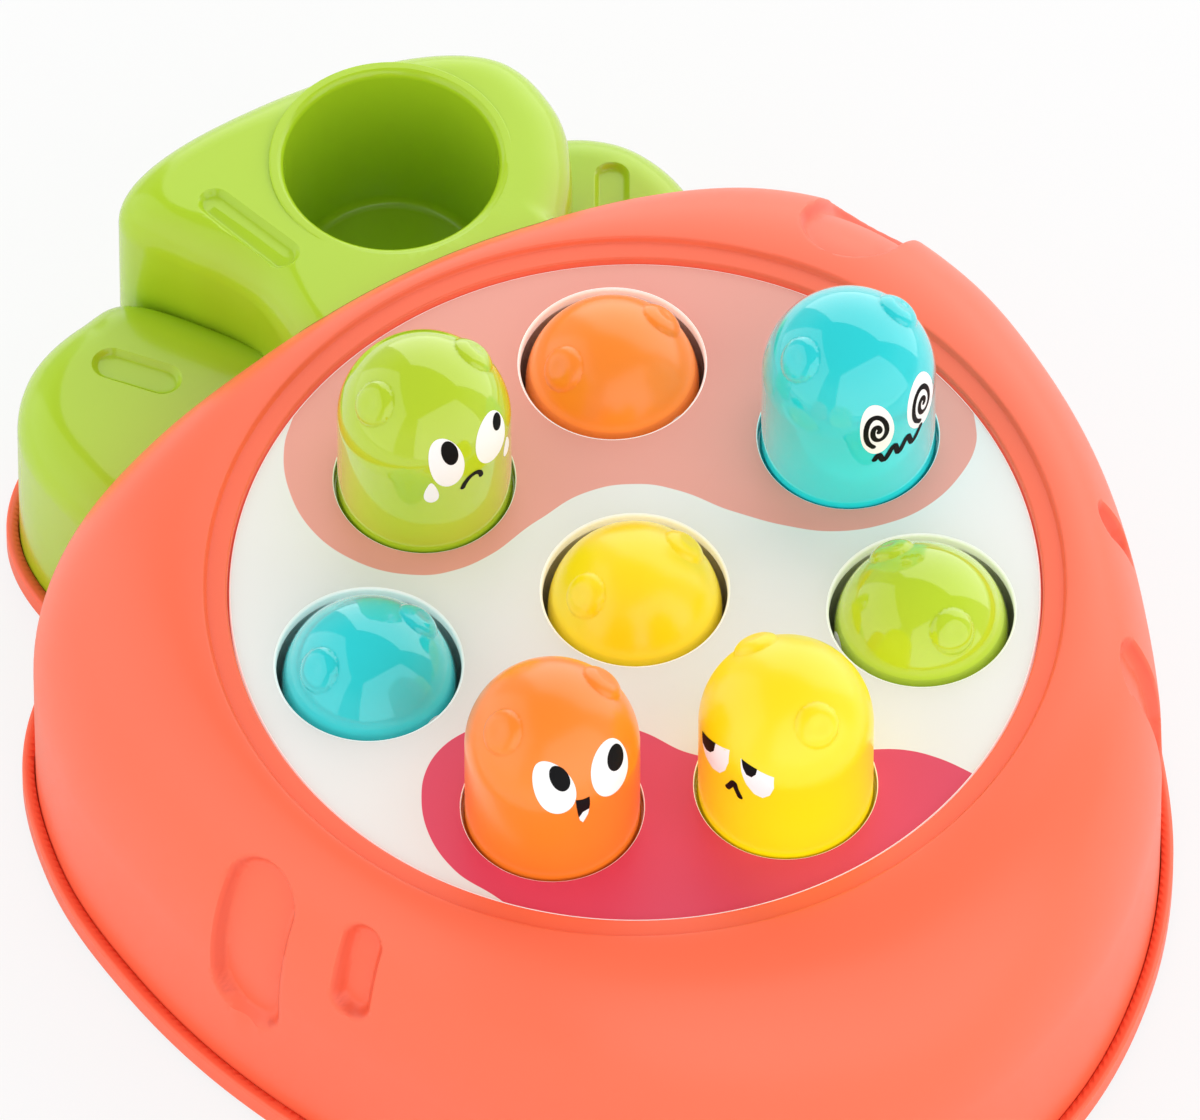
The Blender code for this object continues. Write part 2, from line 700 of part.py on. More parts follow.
def make_rocker(rocker):
    """A see-saw arm with curved pads, its hub, its pin and the two posts on the tray."""
    up, down = pair(rocker.colour)
    turn = Matrix.Rotation(radians(-rocker.heading), 2)
    middle = (up + down) / 2
    half = turn @ (up - down) / 2
    distance = abs(half.x)
    tilt = atan(stroke / 2 / distance)
    arm = hypot(distance, stroke / 2)
    slope = abs(half.y) * (1 if half.x * half.y > 0 else -1)
    reach = stem_end_down + stroke / 2 - gap - rocker.pivot_height
    pad_radius = green_pad_radius if reach < arm_height / 2 else reach
    pad_height = (reach - pad_radius) / cos(tilt)
    spread = tilt + radians(pad_margin_angle)
    pad = [(arm + pad_radius * sin(spread * k / 3), pad_height + pad_radius * cos(spread * k / 3))
           for k in range(-3, 4)]
    end = (pad[-1][0], pad[-1][1] - tip_height)
    if pad_height < 0:
        foot = arm - pad_radius - stem_radius
        knee = foot + pad_height * 9 / 10
        side = [(knee, arm_height / 2), (foot, pad_height), *pad, end, (foot, pad_height - tip_height),
                (knee - tip_height, -arm_height / 2)]
    else:
        bend = hub_radius if pad_radius > 2 * arm_height else pad[0][0] - tip_height
        side = [(bend, arm_height / 2), *pad, end, (bend, -arm_height / 2)]
    mirrored = [(-x, z) for x, z in reversed(side)]
    width = abs(half.y) + max(distance, pad_width)
    profile = [*side, *mirrored]
    name = "rocker_" + rocker.colour
    piece = loft(name, [[(x, y, z) for x, z in profile] for y in (-width, width)],
                 rocker_grey)
    front, back = rocker.front_share * post_reach, rocker.back_share * post_reach
    plan = strip(name + "_plan", (-arm, -slope), (arm, slope), arm_width)
    pad_reach = max(pad_radius * sin(spread), arm_width / 2)
    for sign in (1, -1):
        centre = (sign * arm, sign * slope)
        join(plan, box(f"{name}_pad_{sign}", (centre[0] - pad_reach, centre[1] - pad_width / 2, -stroke * 2),
                       (centre[0] + pad_reach, centre[1] + pad_width / 2, stroke * 2)))
    hub_start = front + post_thickness / 2 + post_clearance
    hub_end = back - post_thickness / 2 - post_clearance
    pin_start = front - post_thickness / 2
    if front > 0:
        hub_end = front - post_thickness / 2 - post_clearance
        hub_start = pin_start = hub_end - overhung_hub
        half_tongue = tongue_width / 2
        join(plan, box(name + "_tongue", (-half_tongue, 0, -stroke), (half_tongue, hub_end, stroke)))
    combine(piece, plan, "INTERSECT")
    hub = across_cylinder(name + "_hub", hub_radius, hub_start, hub_end, 14)
    bore = across_cylinder(name + "_bore", pin_hole_radius, hub_start - overrun, hub_end + overrun, 10)
    join(piece, hub)
    cut(piece, bore)
    for guide in (plan, hub, bore, *plan_guides(plan)):
        guide.parent = piece
    piece.location = (middle.x, middle.y, rocker.pivot_height)
    lean = -tilt if half.x > 0 else tilt
    piece.rotation_euler = (0, lean, radians(rocker.heading))

    pin = across_cylinder("pin_" + rocker.colour, pin_radius, pin_start, back + post_thickness / 2,
                          12, steel)
    pin.location = piece.location
    pin.rotation_euler = (0, 0, radians(rocker.heading))
    for label, place in (("front", front), ("back", back)):
        add_post(rocker, label, place, middle)
    return piece


def plan_guides(plan):
    return [step.object for step in plan.modifiers]


def strip(name, start, end, width):
    """An upright slab with round ends between two places."""
    start, end = Vector(start), Vector(end)
    along = (end - start).normalized()
    across = Vector((-along.y, along.x))
    loop = []
    for tip, sign in ((end, 1), (start, -1)):
        for i in range(7):
            angle = pi * i / 6 - pi / 2
            loop.append(tip + along * sign * cos(angle) * width / 2 + across * sign * sin(angle) * width / 2)
    return loft(name, [lift(loop, -2 * stroke), lift(loop, 2 * stroke)])


def across_cylinder(name, radius, start, end, steps, material=None):
    """A cylinder along local Y."""
    shape = bmesh.new()
    place = Matrix.Translation((0, (start + end) / 2, 0)) @ Matrix.Rotation(pi / 2, 4, "X")
    bmesh.ops.create_cone(shape, cap_ends=True, segments=steps, radius1=radius, radius2=radius,
                          depth=end - start, matrix=place)
    return add_object(name, mesh_from(name, shape), material)


def add_post(rocker, label, place, middle):
    """A bearing post with a round top, joined to the tray."""
    name = f"{rocker.colour}_{label}_post"
    start, end = place - post_thickness / 2, place + post_thickness / 2
    bottom = tray_top - tray_floor / 2 - rocker.pivot_height
    half = post_width / 2
    profile = [(-half, bottom), (half, bottom)]
    profile += [(half * cos(pi * i / 6), half * sin(pi * i / 6)) for i in range(7)]
    post = loft(name, [[(x, y, z) for x, z in profile] for y in (start, end)])
    hole = across_cylinder(name + "_hole", pin_hole_radius, start - overrun, end + overrun, small_steps)
    cut(post, hole)
    for guide in (post, hole):
        guide.location = (middle.x, middle.y, rocker.pivot_height)
        guide.rotation_euler = (0, 0, radians(rocker.heading))
    tray_posts.append(post)


def make_tray():
    """The floor with its lip round body and leaf, bearing posts, screw wells and foot recesses."""
    loops = [(outline, "body")]
    for name, shares, height, fall in lobes:
        loops.append((smooth_loop([on_body(share) for share in reversed(shares)]), name))
    tray = None
    for loop, name in loops:
        outside = offset(loop, lip_outside)
        rings = [lift(offset(loop, lip_outside - lip_round), foot_height),
                 lift(outside, foot_height + lip_round),
                 lift(outside, foot_height + lip_height - lip_round),
                 lift(offset(loop, lip_outside - lip_round), foot_height + lip_height)]
        if tray is None:
            tray = loft("base_tray", rings, coral)
        else:
            join(tray, loft(name + "_tray", rings))
    for loop, name in loops:
        inside = offset(loop, lip_gap)
        cut(tray, loft(name + "_pocket", [lift(inside, tray_top), lift(inside, panel_height)]))
    for number, place in enumerate(screw_places, 1):
        join(tray, cylinder(f"well_{number}", well_radius, tray_top - tray_floor / 2, well_top,
                            place.x, place.y, 10))
    join(tray, *tray_posts)
    for number, place in enumerate(screw_places, 1):
        cut(tray, cylinder(f"counterbore_{number}", screw_head_radius + gap, -overrun,
                           well_top - screw_seat, place.x, place.y, small_steps))
        cut(tray, cylinder(f"screw_hole_{number}", screw_radius + gap, 0, well_top + overrun,
                           place.x, place.y, small_steps))
    for number, shares in enumerate(rubber_foot_shares, 1):
        place = on_body(shares)
        cut(tray, cylinder(f"foot_recess_{number}", rubber_radius + gap, 0,
                           foot_height + rubber_seat + gap, place.x, place.y, 12))
    return tray


def make_screw(number, place):
    """A pan-head screw, head down in its well."""
    top = screw_start + screw_head_height + screw_length
    screw = turned(f"screw_{number:02d}", (
        (0, top), (screw_radius, top - screw_radius), (screw_radius, screw_start + screw_head_height),
        (screw_head_radius, screw_start + screw_head_height),
        (screw_head_radius * 2 / 3, screw_start), (0, screw_start)), steel, steps=small_steps)
    screw.location = (place.x, place.y, 0)


def make_rubber_foot(number, shares):
    place = on_body(shares)
    foot = turned(f"rubber_foot_{number}", (
        (0, foot_height + rubber_seat), (rubber_radius, foot_height + rubber_seat),
        (rubber_radius, rubber_round), (rubber_radius - rubber_round, 0), (0, 0)), rubber, steps=12)
    foot.location = (place.x, place.y, 0)


screw_start = well_top - screw_seat - gap - screw_head_height
cup_outside = cup_radius + leaf_wall
cup_floor = middle_lobe_height - cup_depth
screw_places = []
tray_posts = []

empty_scene()
pieces = new_collection("mole_pounding_game")
cutters = new_collection("cutters")
coral = finish("coral_plastic", "coral", 0.42)
leaf_green = finish("leaf_green_plastic", "leaf_green", 0.22)
white = finish("white_plastic", "white", 0.30)
rocker_grey = finish("rocker_plastic", "white", 0.35)
caps = {rocker.colour: finish(rocker.colour + "_plastic", rocker.colour, 0.18) for rocker in rockers}
steel = finish("steel", "steel", 0.30, 1.0)
rubber = finish("rubber", "rubber", 0.80)

outline = body_outline()
wrinkle_floor = body_solid("wrinkle_floor", -wrinkle_depth, -overrun)
make_body()
make_leaf()
make_panel()
for mole in moles:
    make_mole(mole)
    make_stem(mole)
for rocker in rockers:
    make_rocker(rocker)
make_tray()
for number, place in enumerate(screw_places, 1):
    make_screw(number, place)
for number, shares in enumerate(rubber_foot_shares, 1):
    make_rubber_foot(number, shares)

# Everything moves so that the origin lies under the middle of the tray
leaf_loop = smooth_loop([on_body(share) for share in middle_lobe_shares])
origin_shift = -(max(point.y for point in leaf_loop) + min(point.y for point in outline)) / 2
for thing in bpy.data.objects:
    if thing.parent is None:
        thing.location.y += origin_shift
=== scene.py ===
# Looks of the carrot-shaped mole pounding game: fine moulded shells, the printed panel,
# eight glossy moles with painted faces, and a small photo studio.
from math import asin, atan2, cos, degrees, hypot, pi, radians, sin

import bpy
from mathutils import Matrix, Vector


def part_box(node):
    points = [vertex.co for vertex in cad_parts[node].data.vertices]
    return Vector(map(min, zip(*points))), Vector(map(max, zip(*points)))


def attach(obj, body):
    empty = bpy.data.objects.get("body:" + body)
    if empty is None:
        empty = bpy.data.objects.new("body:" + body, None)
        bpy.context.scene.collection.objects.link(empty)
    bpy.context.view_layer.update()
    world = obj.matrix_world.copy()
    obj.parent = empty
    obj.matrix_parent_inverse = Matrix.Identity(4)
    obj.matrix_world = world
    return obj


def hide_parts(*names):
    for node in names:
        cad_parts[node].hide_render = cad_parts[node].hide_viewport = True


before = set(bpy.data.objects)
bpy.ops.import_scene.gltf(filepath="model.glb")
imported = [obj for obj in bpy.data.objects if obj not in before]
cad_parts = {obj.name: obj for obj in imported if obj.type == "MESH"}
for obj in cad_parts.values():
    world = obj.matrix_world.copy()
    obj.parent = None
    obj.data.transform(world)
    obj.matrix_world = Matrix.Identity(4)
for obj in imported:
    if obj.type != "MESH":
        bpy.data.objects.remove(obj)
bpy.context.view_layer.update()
print("frame loaded,", len(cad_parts), "nodes")

panelLow, panelHigh = (Vector(corner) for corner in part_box("mole_panel"))
middle = (panelLow + panelHigh) / 2      # panel centre, seen from above
panelTop = panelHigh.z
meshing = {"seam": 0.000001, "spinSeam": 0.000002, "faceWeight": 60, "roundSteps": 96}


def pickOnly(thing):
    bpy.ops.object.select_all(action="DESELECT")
    thing.select_set(True)
    bpy.context.view_layer.objects.active = thing


def openMesh(thing):
    # edit mode with everything selected
    pickOnly(thing)
    bpy.ops.object.mode_set(mode="EDIT")
    bpy.ops.mesh.select_all(action="SELECT")


def settle(thing):
    # its place and turn go into the mesh, and its origin to the scene's
    pickOnly(thing)
    bpy.ops.object.transform_apply(location=True, rotation=True, scale=True)


def copyOf(thing, name):
    other = thing.copy()
    other.data = thing.data.copy()
    bpy.context.collection.objects.link(other)
    other.name = name
    return other


def movePoints(thing, points):
    thing.data.vertices.foreach_set("co", [value for point in points for value in point])
    thing.data.update()


def cleanMesh(thing, seam=meshing["seam"]):
    openMesh(thing)
    bpy.ops.mesh.remove_doubles(threshold=seam)
    bpy.ops.mesh.normals_make_consistent(inside=False)
    bpy.ops.object.mode_set(mode="OBJECT")


def wrappedGrid(name, columns, rows, place):
    bpy.ops.mesh.primitive_grid_add(x_subdivisions=columns, y_subdivisions=rows)
    thing = bpy.context.object
    thing.name = name
    movePoints(thing, [place(column, row) for row in range(rows + 1) for column in range(columns + 1)])
    cleanMesh(thing)
    return thing


def ringStack(name, rings, closed=False):
    # rings of equal counts become one skin; a ring of one repeated point closes an end
    count = len(rings[0])
    stack = rings + [rings[0]] if closed else rings
    return wrappedGrid(name, count, len(stack) - 1, lambda column, row: stack[row][column % count])


def arc(steps):
    # angles from level to upright
    return [pi / 2 * k / steps for k in range(steps + 1)]


def roundOver(reach, top, soft, steps):
    # the rounded edge of a disc, going up
    return [(reach - soft * (1 - cos(turn)), top - soft * (1 - sin(turn))) for turn in arc(steps)]


def roundInto(reach, top, soft, steps):
    # the rounded mouth of a hole, going down
    return [(reach + soft * (1 - sin(turn)), top - soft * (1 - cos(turn))) for turn in arc(steps)]


def softStep(share):
    share = min(max(share, 0), 1)
    return share * share * (3 - 2 * share)


def spun(name, profile, spot, steps=meshing["roundSteps"]):
    # a profile of (radius, height) points, spun round an upright axis
    bpy.ops.mesh.primitive_circle_add(vertices=len(profile))
    thing = bpy.context.object
    thing.name = name
    movePoints(thing, [(radius, 0, height) for radius, height in profile])
    onAxis = [point.index for point in thing.data.vertices if abs(point.co.x) < meshing["seam"]]
    bpy.ops.object.mode_set(mode="EDIT")
    bpy.ops.mesh.select_mode(type="EDGE")
    bpy.ops.mesh.select_all(action="DESELECT")
    bpy.ops.object.mode_set(mode="OBJECT")
    for edge in thing.data.edges:
        edge.select = edge.vertices[0] in onAxis and edge.vertices[1] in onAxis
    bpy.ops.object.mode_set(mode="EDIT")
    bpy.ops.mesh.delete(type="EDGE")
    bpy.ops.mesh.select_all(action="SELECT")
    bpy.ops.mesh.spin(steps=steps, angle=2 * pi, center=(0, 0, 0), axis=(0, 0, 1))
    bpy.ops.mesh.select_mode(type="VERT")
    bpy.ops.object.mode_set(mode="OBJECT")
    cleanMesh(thing, meshing["spinSeam"])
    thing.location = spot
    settle(thing)
    return thing


def cylinder(name, radius, low, high, spot, steps=meshing["roundSteps"]):
    return spun(name, ((0, low), (radius, low), (radius, high), (0, high)), spot, steps)


def combine(thing, other, operation):
    step = thing.modifiers.new(other.name, "BOOLEAN")
    step.operation = operation
    step.solver = "EXACT"
    step.object = other
    pickOnly(thing)
    bpy.ops.object.modifier_apply(modifier=step.name)
    bpy.data.objects.remove(other, do_unlink=True)


def joinAll(things):
    pickOnly(things[0])
    for thing in things[1:]:
        thing.select_set(True)
    bpy.ops.object.join()
    return bpy.context.object


def smoothEdges(thing, angle, weighted=True):
    pickOnly(thing)
    bpy.ops.object.shade_smooth_by_angle(angle=radians(angle))
    if weighted:
        # large faces keep their own direction beside small ones
        step = thing.modifiers.new("facing", "WEIGHTED_NORMAL")
        step.keep_sharp = True
        step.weight = meshing["faceWeight"]
        bpy.ops.object.modifier_apply(modifier=step.name)


def curvePoint(a, b, c, d, t):
    # Catmull-Rom, between b and c
    return (2 * b + (c - a) * t + (2 * a - 5 * b + 4 * c - d) * t ** 2 + (3 * b - a - 3 * c + d) * t ** 3) / 2


def smoothLoop(points, steps):
    loop = []
    count = len(points)
    for i in range(count):
        a, b, c, d = (Vector(points[(i + k) % count]) for k in (-1, 0, 1, 2))
        loop += [curvePoint(a, b, c, d, s / steps) for s in range(steps)]
    return loop


def flat(x, y, z):
    # a place given from the panel's centre
    return (middle.x + x, middle.y + y, z)


def ringAt(points, z):
    return [flat(point.x, point.y, z) for point in points]


def centreOf(loop):
    return sum(loop, Vector((0, 0))) / len(loop)


def drawIn(loop, distance):
    centre = centreOf(loop)
    return [point + (centre - point).normalized() * distance for point in loop]


def movedOut(loop, distance):
    moved = []
    for i, point in enumerate(loop):
        along = (loop[(i + 1) % len(loop)] - loop[i - 1]).normalized()
        moved.append(point + Vector((along.y, -along.x)) * distance)
    return moved


# materials

def addNode(tree, kind, **settings):
    node = tree.nodes.new(kind)
    for label, value in settings.items():
        if label.startswith("in_"):
            node.inputs[label[3:]].default_value = value
        else:
            setattr(node, label, value)
    return node


def mathNode(tree, operation, *values):
    node = tree.nodes.new("ShaderNodeMath")
    node.operation = operation
    for socket, value in zip(node.inputs, values):
        if hasattr(value, "links"):
            tree.links.new(value, socket)
        else:
            socket.default_value = value
    return node.outputs[0]


def mixColour(tree, share, first, second):
    node = tree.nodes.new("ShaderNodeMix")
    node.data_type = "RGBA"
    for key, value in ((0, share), (6, first), (7, second)):
        if hasattr(value, "links"):
            tree.links.new(value, node.inputs[key])
        else:
            node.inputs[key].default_value = value
    return node.outputs[2]


def softRamp(tree, value, heights, ends):
    # from one end's value to the other's between two heights
    ramp = addNode(tree, "ShaderNodeMapRange", interpolation_type="SMOOTHSTEP")
    for label, number in zip(("From Min", "From Max", "To Min", "To Max"), (*heights, *ends)):
        ramp.inputs[label].default_value = number
    tree.links.new(value, ramp.inputs["Value"])
    return ramp.outputs["Result"]


grain = {"flow": (26, 3, 0.5), "smudge": (75, 4, 0.6), "peel": (900, 2, 0.5),    # scale, detail, roughness
         "peelHeight": 0.00004}    # metres
moleGlow = {"heights": (0.074, 0.106), "below": 0.0008}    # fades upwards from the panel's top


def buildMouldedSurface():
    # soft flow marks in the colour, faint smudges in the gloss and a very fine orange peel
    group = bpy.data.node_groups.new("mouldedSurface", "ShaderNodeTree")
    for label, kind, value in (("Colour", "Color", (1, 1, 1, 1)), ("Roughness", "Float", 0.3),
                               ("Flow", "Float", 0.03), ("Smudge", "Float", 0.05), ("Peel", "Float", 0.2)):
        socket = group.interface.new_socket(label, in_out="INPUT", socket_type="NodeSocket" + kind)
        socket.default_value = value
    for label, kind in (("Colour", "Color"), ("Roughness", "Float"), ("Height", "Float")):
        group.interface.new_socket(label, in_out="OUTPUT", socket_type="NodeSocket" + kind)
    link, start, end = group.links.new, group.nodes.new("NodeGroupInput"), group.nodes.new("NodeGroupOutput")
    place = group.nodes.new("ShaderNodeTexCoord")
    noises = {}
    for label in ("flow", "smudge", "peel"):
        scale, detail, rough = grain[label]
        noise = addNode(group, "ShaderNodeTexNoise", in_Scale=scale, in_Detail=detail, in_Roughness=rough)
        link(place.outputs["Object"], noise.inputs["Vector"])
        noises[label] = noise.outputs["Fac"]

    def swing(label):
        centred = mathNode(group, "SUBTRACT", noises[label], 0.5)
        return mathNode(group, "MULTIPLY", centred, start.outputs[label.title()])

    shade = addNode(group, "ShaderNodeVectorMath", operation="SCALE")
    link(start.outputs["Colour"], shade.inputs[0])
    link(mathNode(group, "ADD", swing("flow"), 1.0), shade.inputs["Scale"])
    link(shade.outputs[0], end.inputs["Colour"])
    link(mathNode(group, "ADD", swing("smudge"), start.outputs["Roughness"]), end.inputs["Roughness"])
    link(mathNode(group, "MULTIPLY", noises["peel"], start.outputs["Peel"]), end.inputs["Height"])
    return group


mouldedSurface = buildMouldedSurface()


def finishMaterial(name, look):
    material = bpy.data.materials.new(name)
    material.use_nodes = True
    tree = material.node_tree
    link, shader = tree.links.new, tree.nodes["Principled BSDF"]
    surface = tree.nodes.new("ShaderNodeGroup")
    surface.node_tree = mouldedSurface
    for label in ("Roughness", "Flow", "Smudge", "Peel"):
        surface.inputs[label].default_value = look[label.lower()]
    surface.inputs["Colour"].default_value = (*look["colour"], 1)
    link(surface.outputs["Colour"], shader.inputs["Base Color"])
    link(surface.outputs["Roughness"], shader.inputs["Roughness"])
    bump = addNode(tree, "ShaderNodeBump", in_Strength=look["bump"], in_Distance=grain["peelHeight"])
    link(surface.outputs["Height"], bump.inputs["Height"])
    link(bump.outputs["Normal"], shader.inputs["Normal"])
    for label, key, usual in (("Metallic", "metallic", 0), ("Coat Weight", "coat", 0),
                              ("Coat Roughness", "coatRoughness", 0.05),
                              ("Specular IOR Level", "specular", 0.5)):
        shader.inputs[label].default_value = look.get(key, usual)
    if "fill" in look:
        # light that the pale room throws on the lower sides
        place = tree.nodes.new("ShaderNodeTexCoord")
        split = tree.nodes.new("ShaderNodeSeparateXYZ")
        link(place.outputs["Object"], split.inputs[0])
        glow = softRamp(tree, split.outputs["Z"], moleGlow["heights"], (look["fill"], 0))
        shown = mathNode(tree, "GREATER_THAN", split.outputs["Z"], panelTop - moleGlow["below"])
        link(surface.outputs["Colour"], shader.inputs["Emission Color"])
        link(mathNode(tree, "MULTIPLY", glow, shown), shader.inputs["Emission Strength"])
    return material


lookKeys = ("colour", "roughness", "flow", "smudge", "peel", "bump", "coat", "coatRoughness", "fill")
looks = {name: dict(zip(lookKeys, values)) for name, *values in (
    ("coral", (1.0, 0.153, 0.07), 0.34, 0.03, 0.06, 0.5, 0.25),
    ("leafGreen", (0.428, 0.64, 0.02), 0.2, 0.04, 0.05, 0.4, 0.15, 0.3, 0.08),
    ("panelWhite", (0.86, 0.855, 0.825), 0.34, 0.01, 0.05, 0.3, 0.15),
    ("innerWhite", (0.78, 0.78, 0.76), 0.38, 0.02, 0.06, 0.4, 0.25),
    ("teal", (0.02, 0.64, 0.675), 0.1, 0.02, 0.03, 0.3, 0.06, 0.9, 0.02, 0.36),
    ("orange", (1.0, 0.245, 0.018), 0.3, 0.02, 0.05, 0.3, 0.12, 0.4, 0.22, 0.1),
    ("green", (0.47, 0.64, 0.022), 0.12, 0.02, 0.03, 0.3, 0.06, 0.8, 0.02, 0.12),
    ("yellow", (1.0, 0.75, 0.003), 0.3, 0.02, 0.05, 0.3, 0.12, 0.3, 0.22, 0.28),
    ("eyeWhite", (0.94, 0.94, 0.94), 0.45, 0.01, 0.04, 0.2, 0.1),
    ("eyeBlack", (0.004, 0.004, 0.005), 0.5, 0.1, 0.04, 0.2, 0.1),
    ("steel", (0.6, 0.6, 0.62), 0.3, 0.05, 0.15, 0.4, 0.3),
    ("rubber", (0.03, 0.03, 0.033), 0.8, 0.15, 0.15, 1.0, 0.8))}
looks["eyeWhite"]["specular"], looks["eyeBlack"]["specular"], looks["steel"]["metallic"] = 0.2, 0.12, 1
# copies for the moles that are down, each with its own strength of painted room light on the lower sides
for name, fill in (("teal", 0.0), ("orange", 0.14), ("green", 0.12), ("yellow", 0.04)):
    looks[name + "Down"] = {**looks[name], "fill": fill}
materials = {name: finishMaterial(name + "Finish", look) for name, look in looks.items()}


def dress(thing, name, *others):
    thing.data.materials.clear()
    for label in (name, *others):
        thing.data.materials.append(materials[label])


print("materials made")

# carrot body

carrot = {
    "halfWidth": 0.112, "frontReach": 0.124, "backReach": 0.1025, "wall": 0.0032,
    "bottom": 0.0042, "straight": 0.04, "crown": 0.0802, "crownRadius": 0.0886,
    "ledge": 0.0791, "openingRadius": 0.0836, "seatRadius": 0.0816, "seat": 0.0753, "seatUnder": 0.0721,
    "innerRadius": 0.0868, "innerTop": 0.076, "edgeRound": 0.0006,
    "outline": ((0.0, 1.0), (0.28, 0.99), (0.545, 0.951), (0.765, 0.853), (0.915, 0.681),
                (0.992, 0.426), (0.998, 0.157), (0.96, -0.105), (0.871, -0.347), (0.746, -0.573),
                (0.563, -0.766), (0.313, -0.919)),
    "wrinkles": (  # angle, height, length, width
        (33.2, 0.0694, 0.04, 0.021), (341.5, 0.0663, 0.0176, 0.009), (321.3, 0.0562, 0.036, 0.0132),
        (190.2, 0.0512, 0.0465, 0.0181), (205.1, 0.0632, 0.0234, 0.0088)),
    "wrinkleDepth": 0.003, "wrinkleRamp": 0.0019, "wrinkleLip": 0.0004,
    "wrinkleBlend": 0.55, "wrinkleMargin": 0.003,
    # painted shade on the wrinkles' steep sides: lowest height, strength and darker tint
    "shadeFrom": 0.03, "shadeShare": 0.55, "shadeTint": (0.72, 0.45, 0.4),
    "loopSteps": 80, "fineStep": 0.00045, "wideStep": 0.0026, "shoulderRows": 104, "smoothAngle": 42,
    "lowRows": (0.008, 0.014, 0.02, 0.025, 0.028), "wallRows": (0.029, 0.0008, 14),    # from, step, count
    "crownRows": ((0.08, 0.3), (0.4, 0.7), (0.8, 1.0), (1.0, 1.4), (1.0, 4.0)),    # shares of step, of round
    "innerShare": 1.3, "innerRows": 10, "innerStep": 0.002,
    "notchGap": 0.0003, "notchHeights": (0.0293, 0.12),
}


def carrotLoop(steps):
    half = [(x * carrot["halfWidth"], y * (carrot["backReach"] if y > 0 else carrot["frontReach"]))
            for x, y in carrot["outline"]]
    points = [*half, (0, -carrot["frontReach"]), *((-x, y) for x, y in reversed(half[1:]))]
    return list(reversed(smoothLoop(points, steps)))


def wrinkleFrames(loop):
    frames = []
    rise = carrot["crown"] - carrot["straight"]
    for angle, height, length, width in carrot["wrinkles"]:
        rim = min(loop, key=lambda p: abs((degrees(atan2(p.y, p.x)) - angle + 180) % 360 - 180))
        out = rim.normalized()
        run = rim.length - carrot["crownRadius"]
        turn = asin((height - carrot["straight"]) / rise)
        reach = rim.length - run * (1 - cos(turn))
        normal = Vector((out.x * cos(turn) / run, out.y * cos(turn) / run, sin(turn) / rise)).normalized()
        side = Vector((-out.y, out.x, 0))
        centre = Vector((out.x * reach, out.y * reach, height))
        frames.append((centre, side, side.cross(normal), length, width))
    return frames


def wrinkleShare(point, frames):
    deepest, blend = 0, carrot["wrinkleBlend"]
    for centre, side, down, length, width in frames:
        away = point - centre
        if away.length > length:
            continue
        across, along = away.dot(side), away.dot(down)
        beyond = max(abs(along) - (length - width) / 2, 0)
        distance = hypot(across, beyond) - width / 2
        share = min(max((carrot["wrinkleLip"] - distance) / carrot["wrinkleRamp"], 0), 1)
        deepest = max(deepest, blend * share + (1 - blend) * softStep(share))
    return deepest


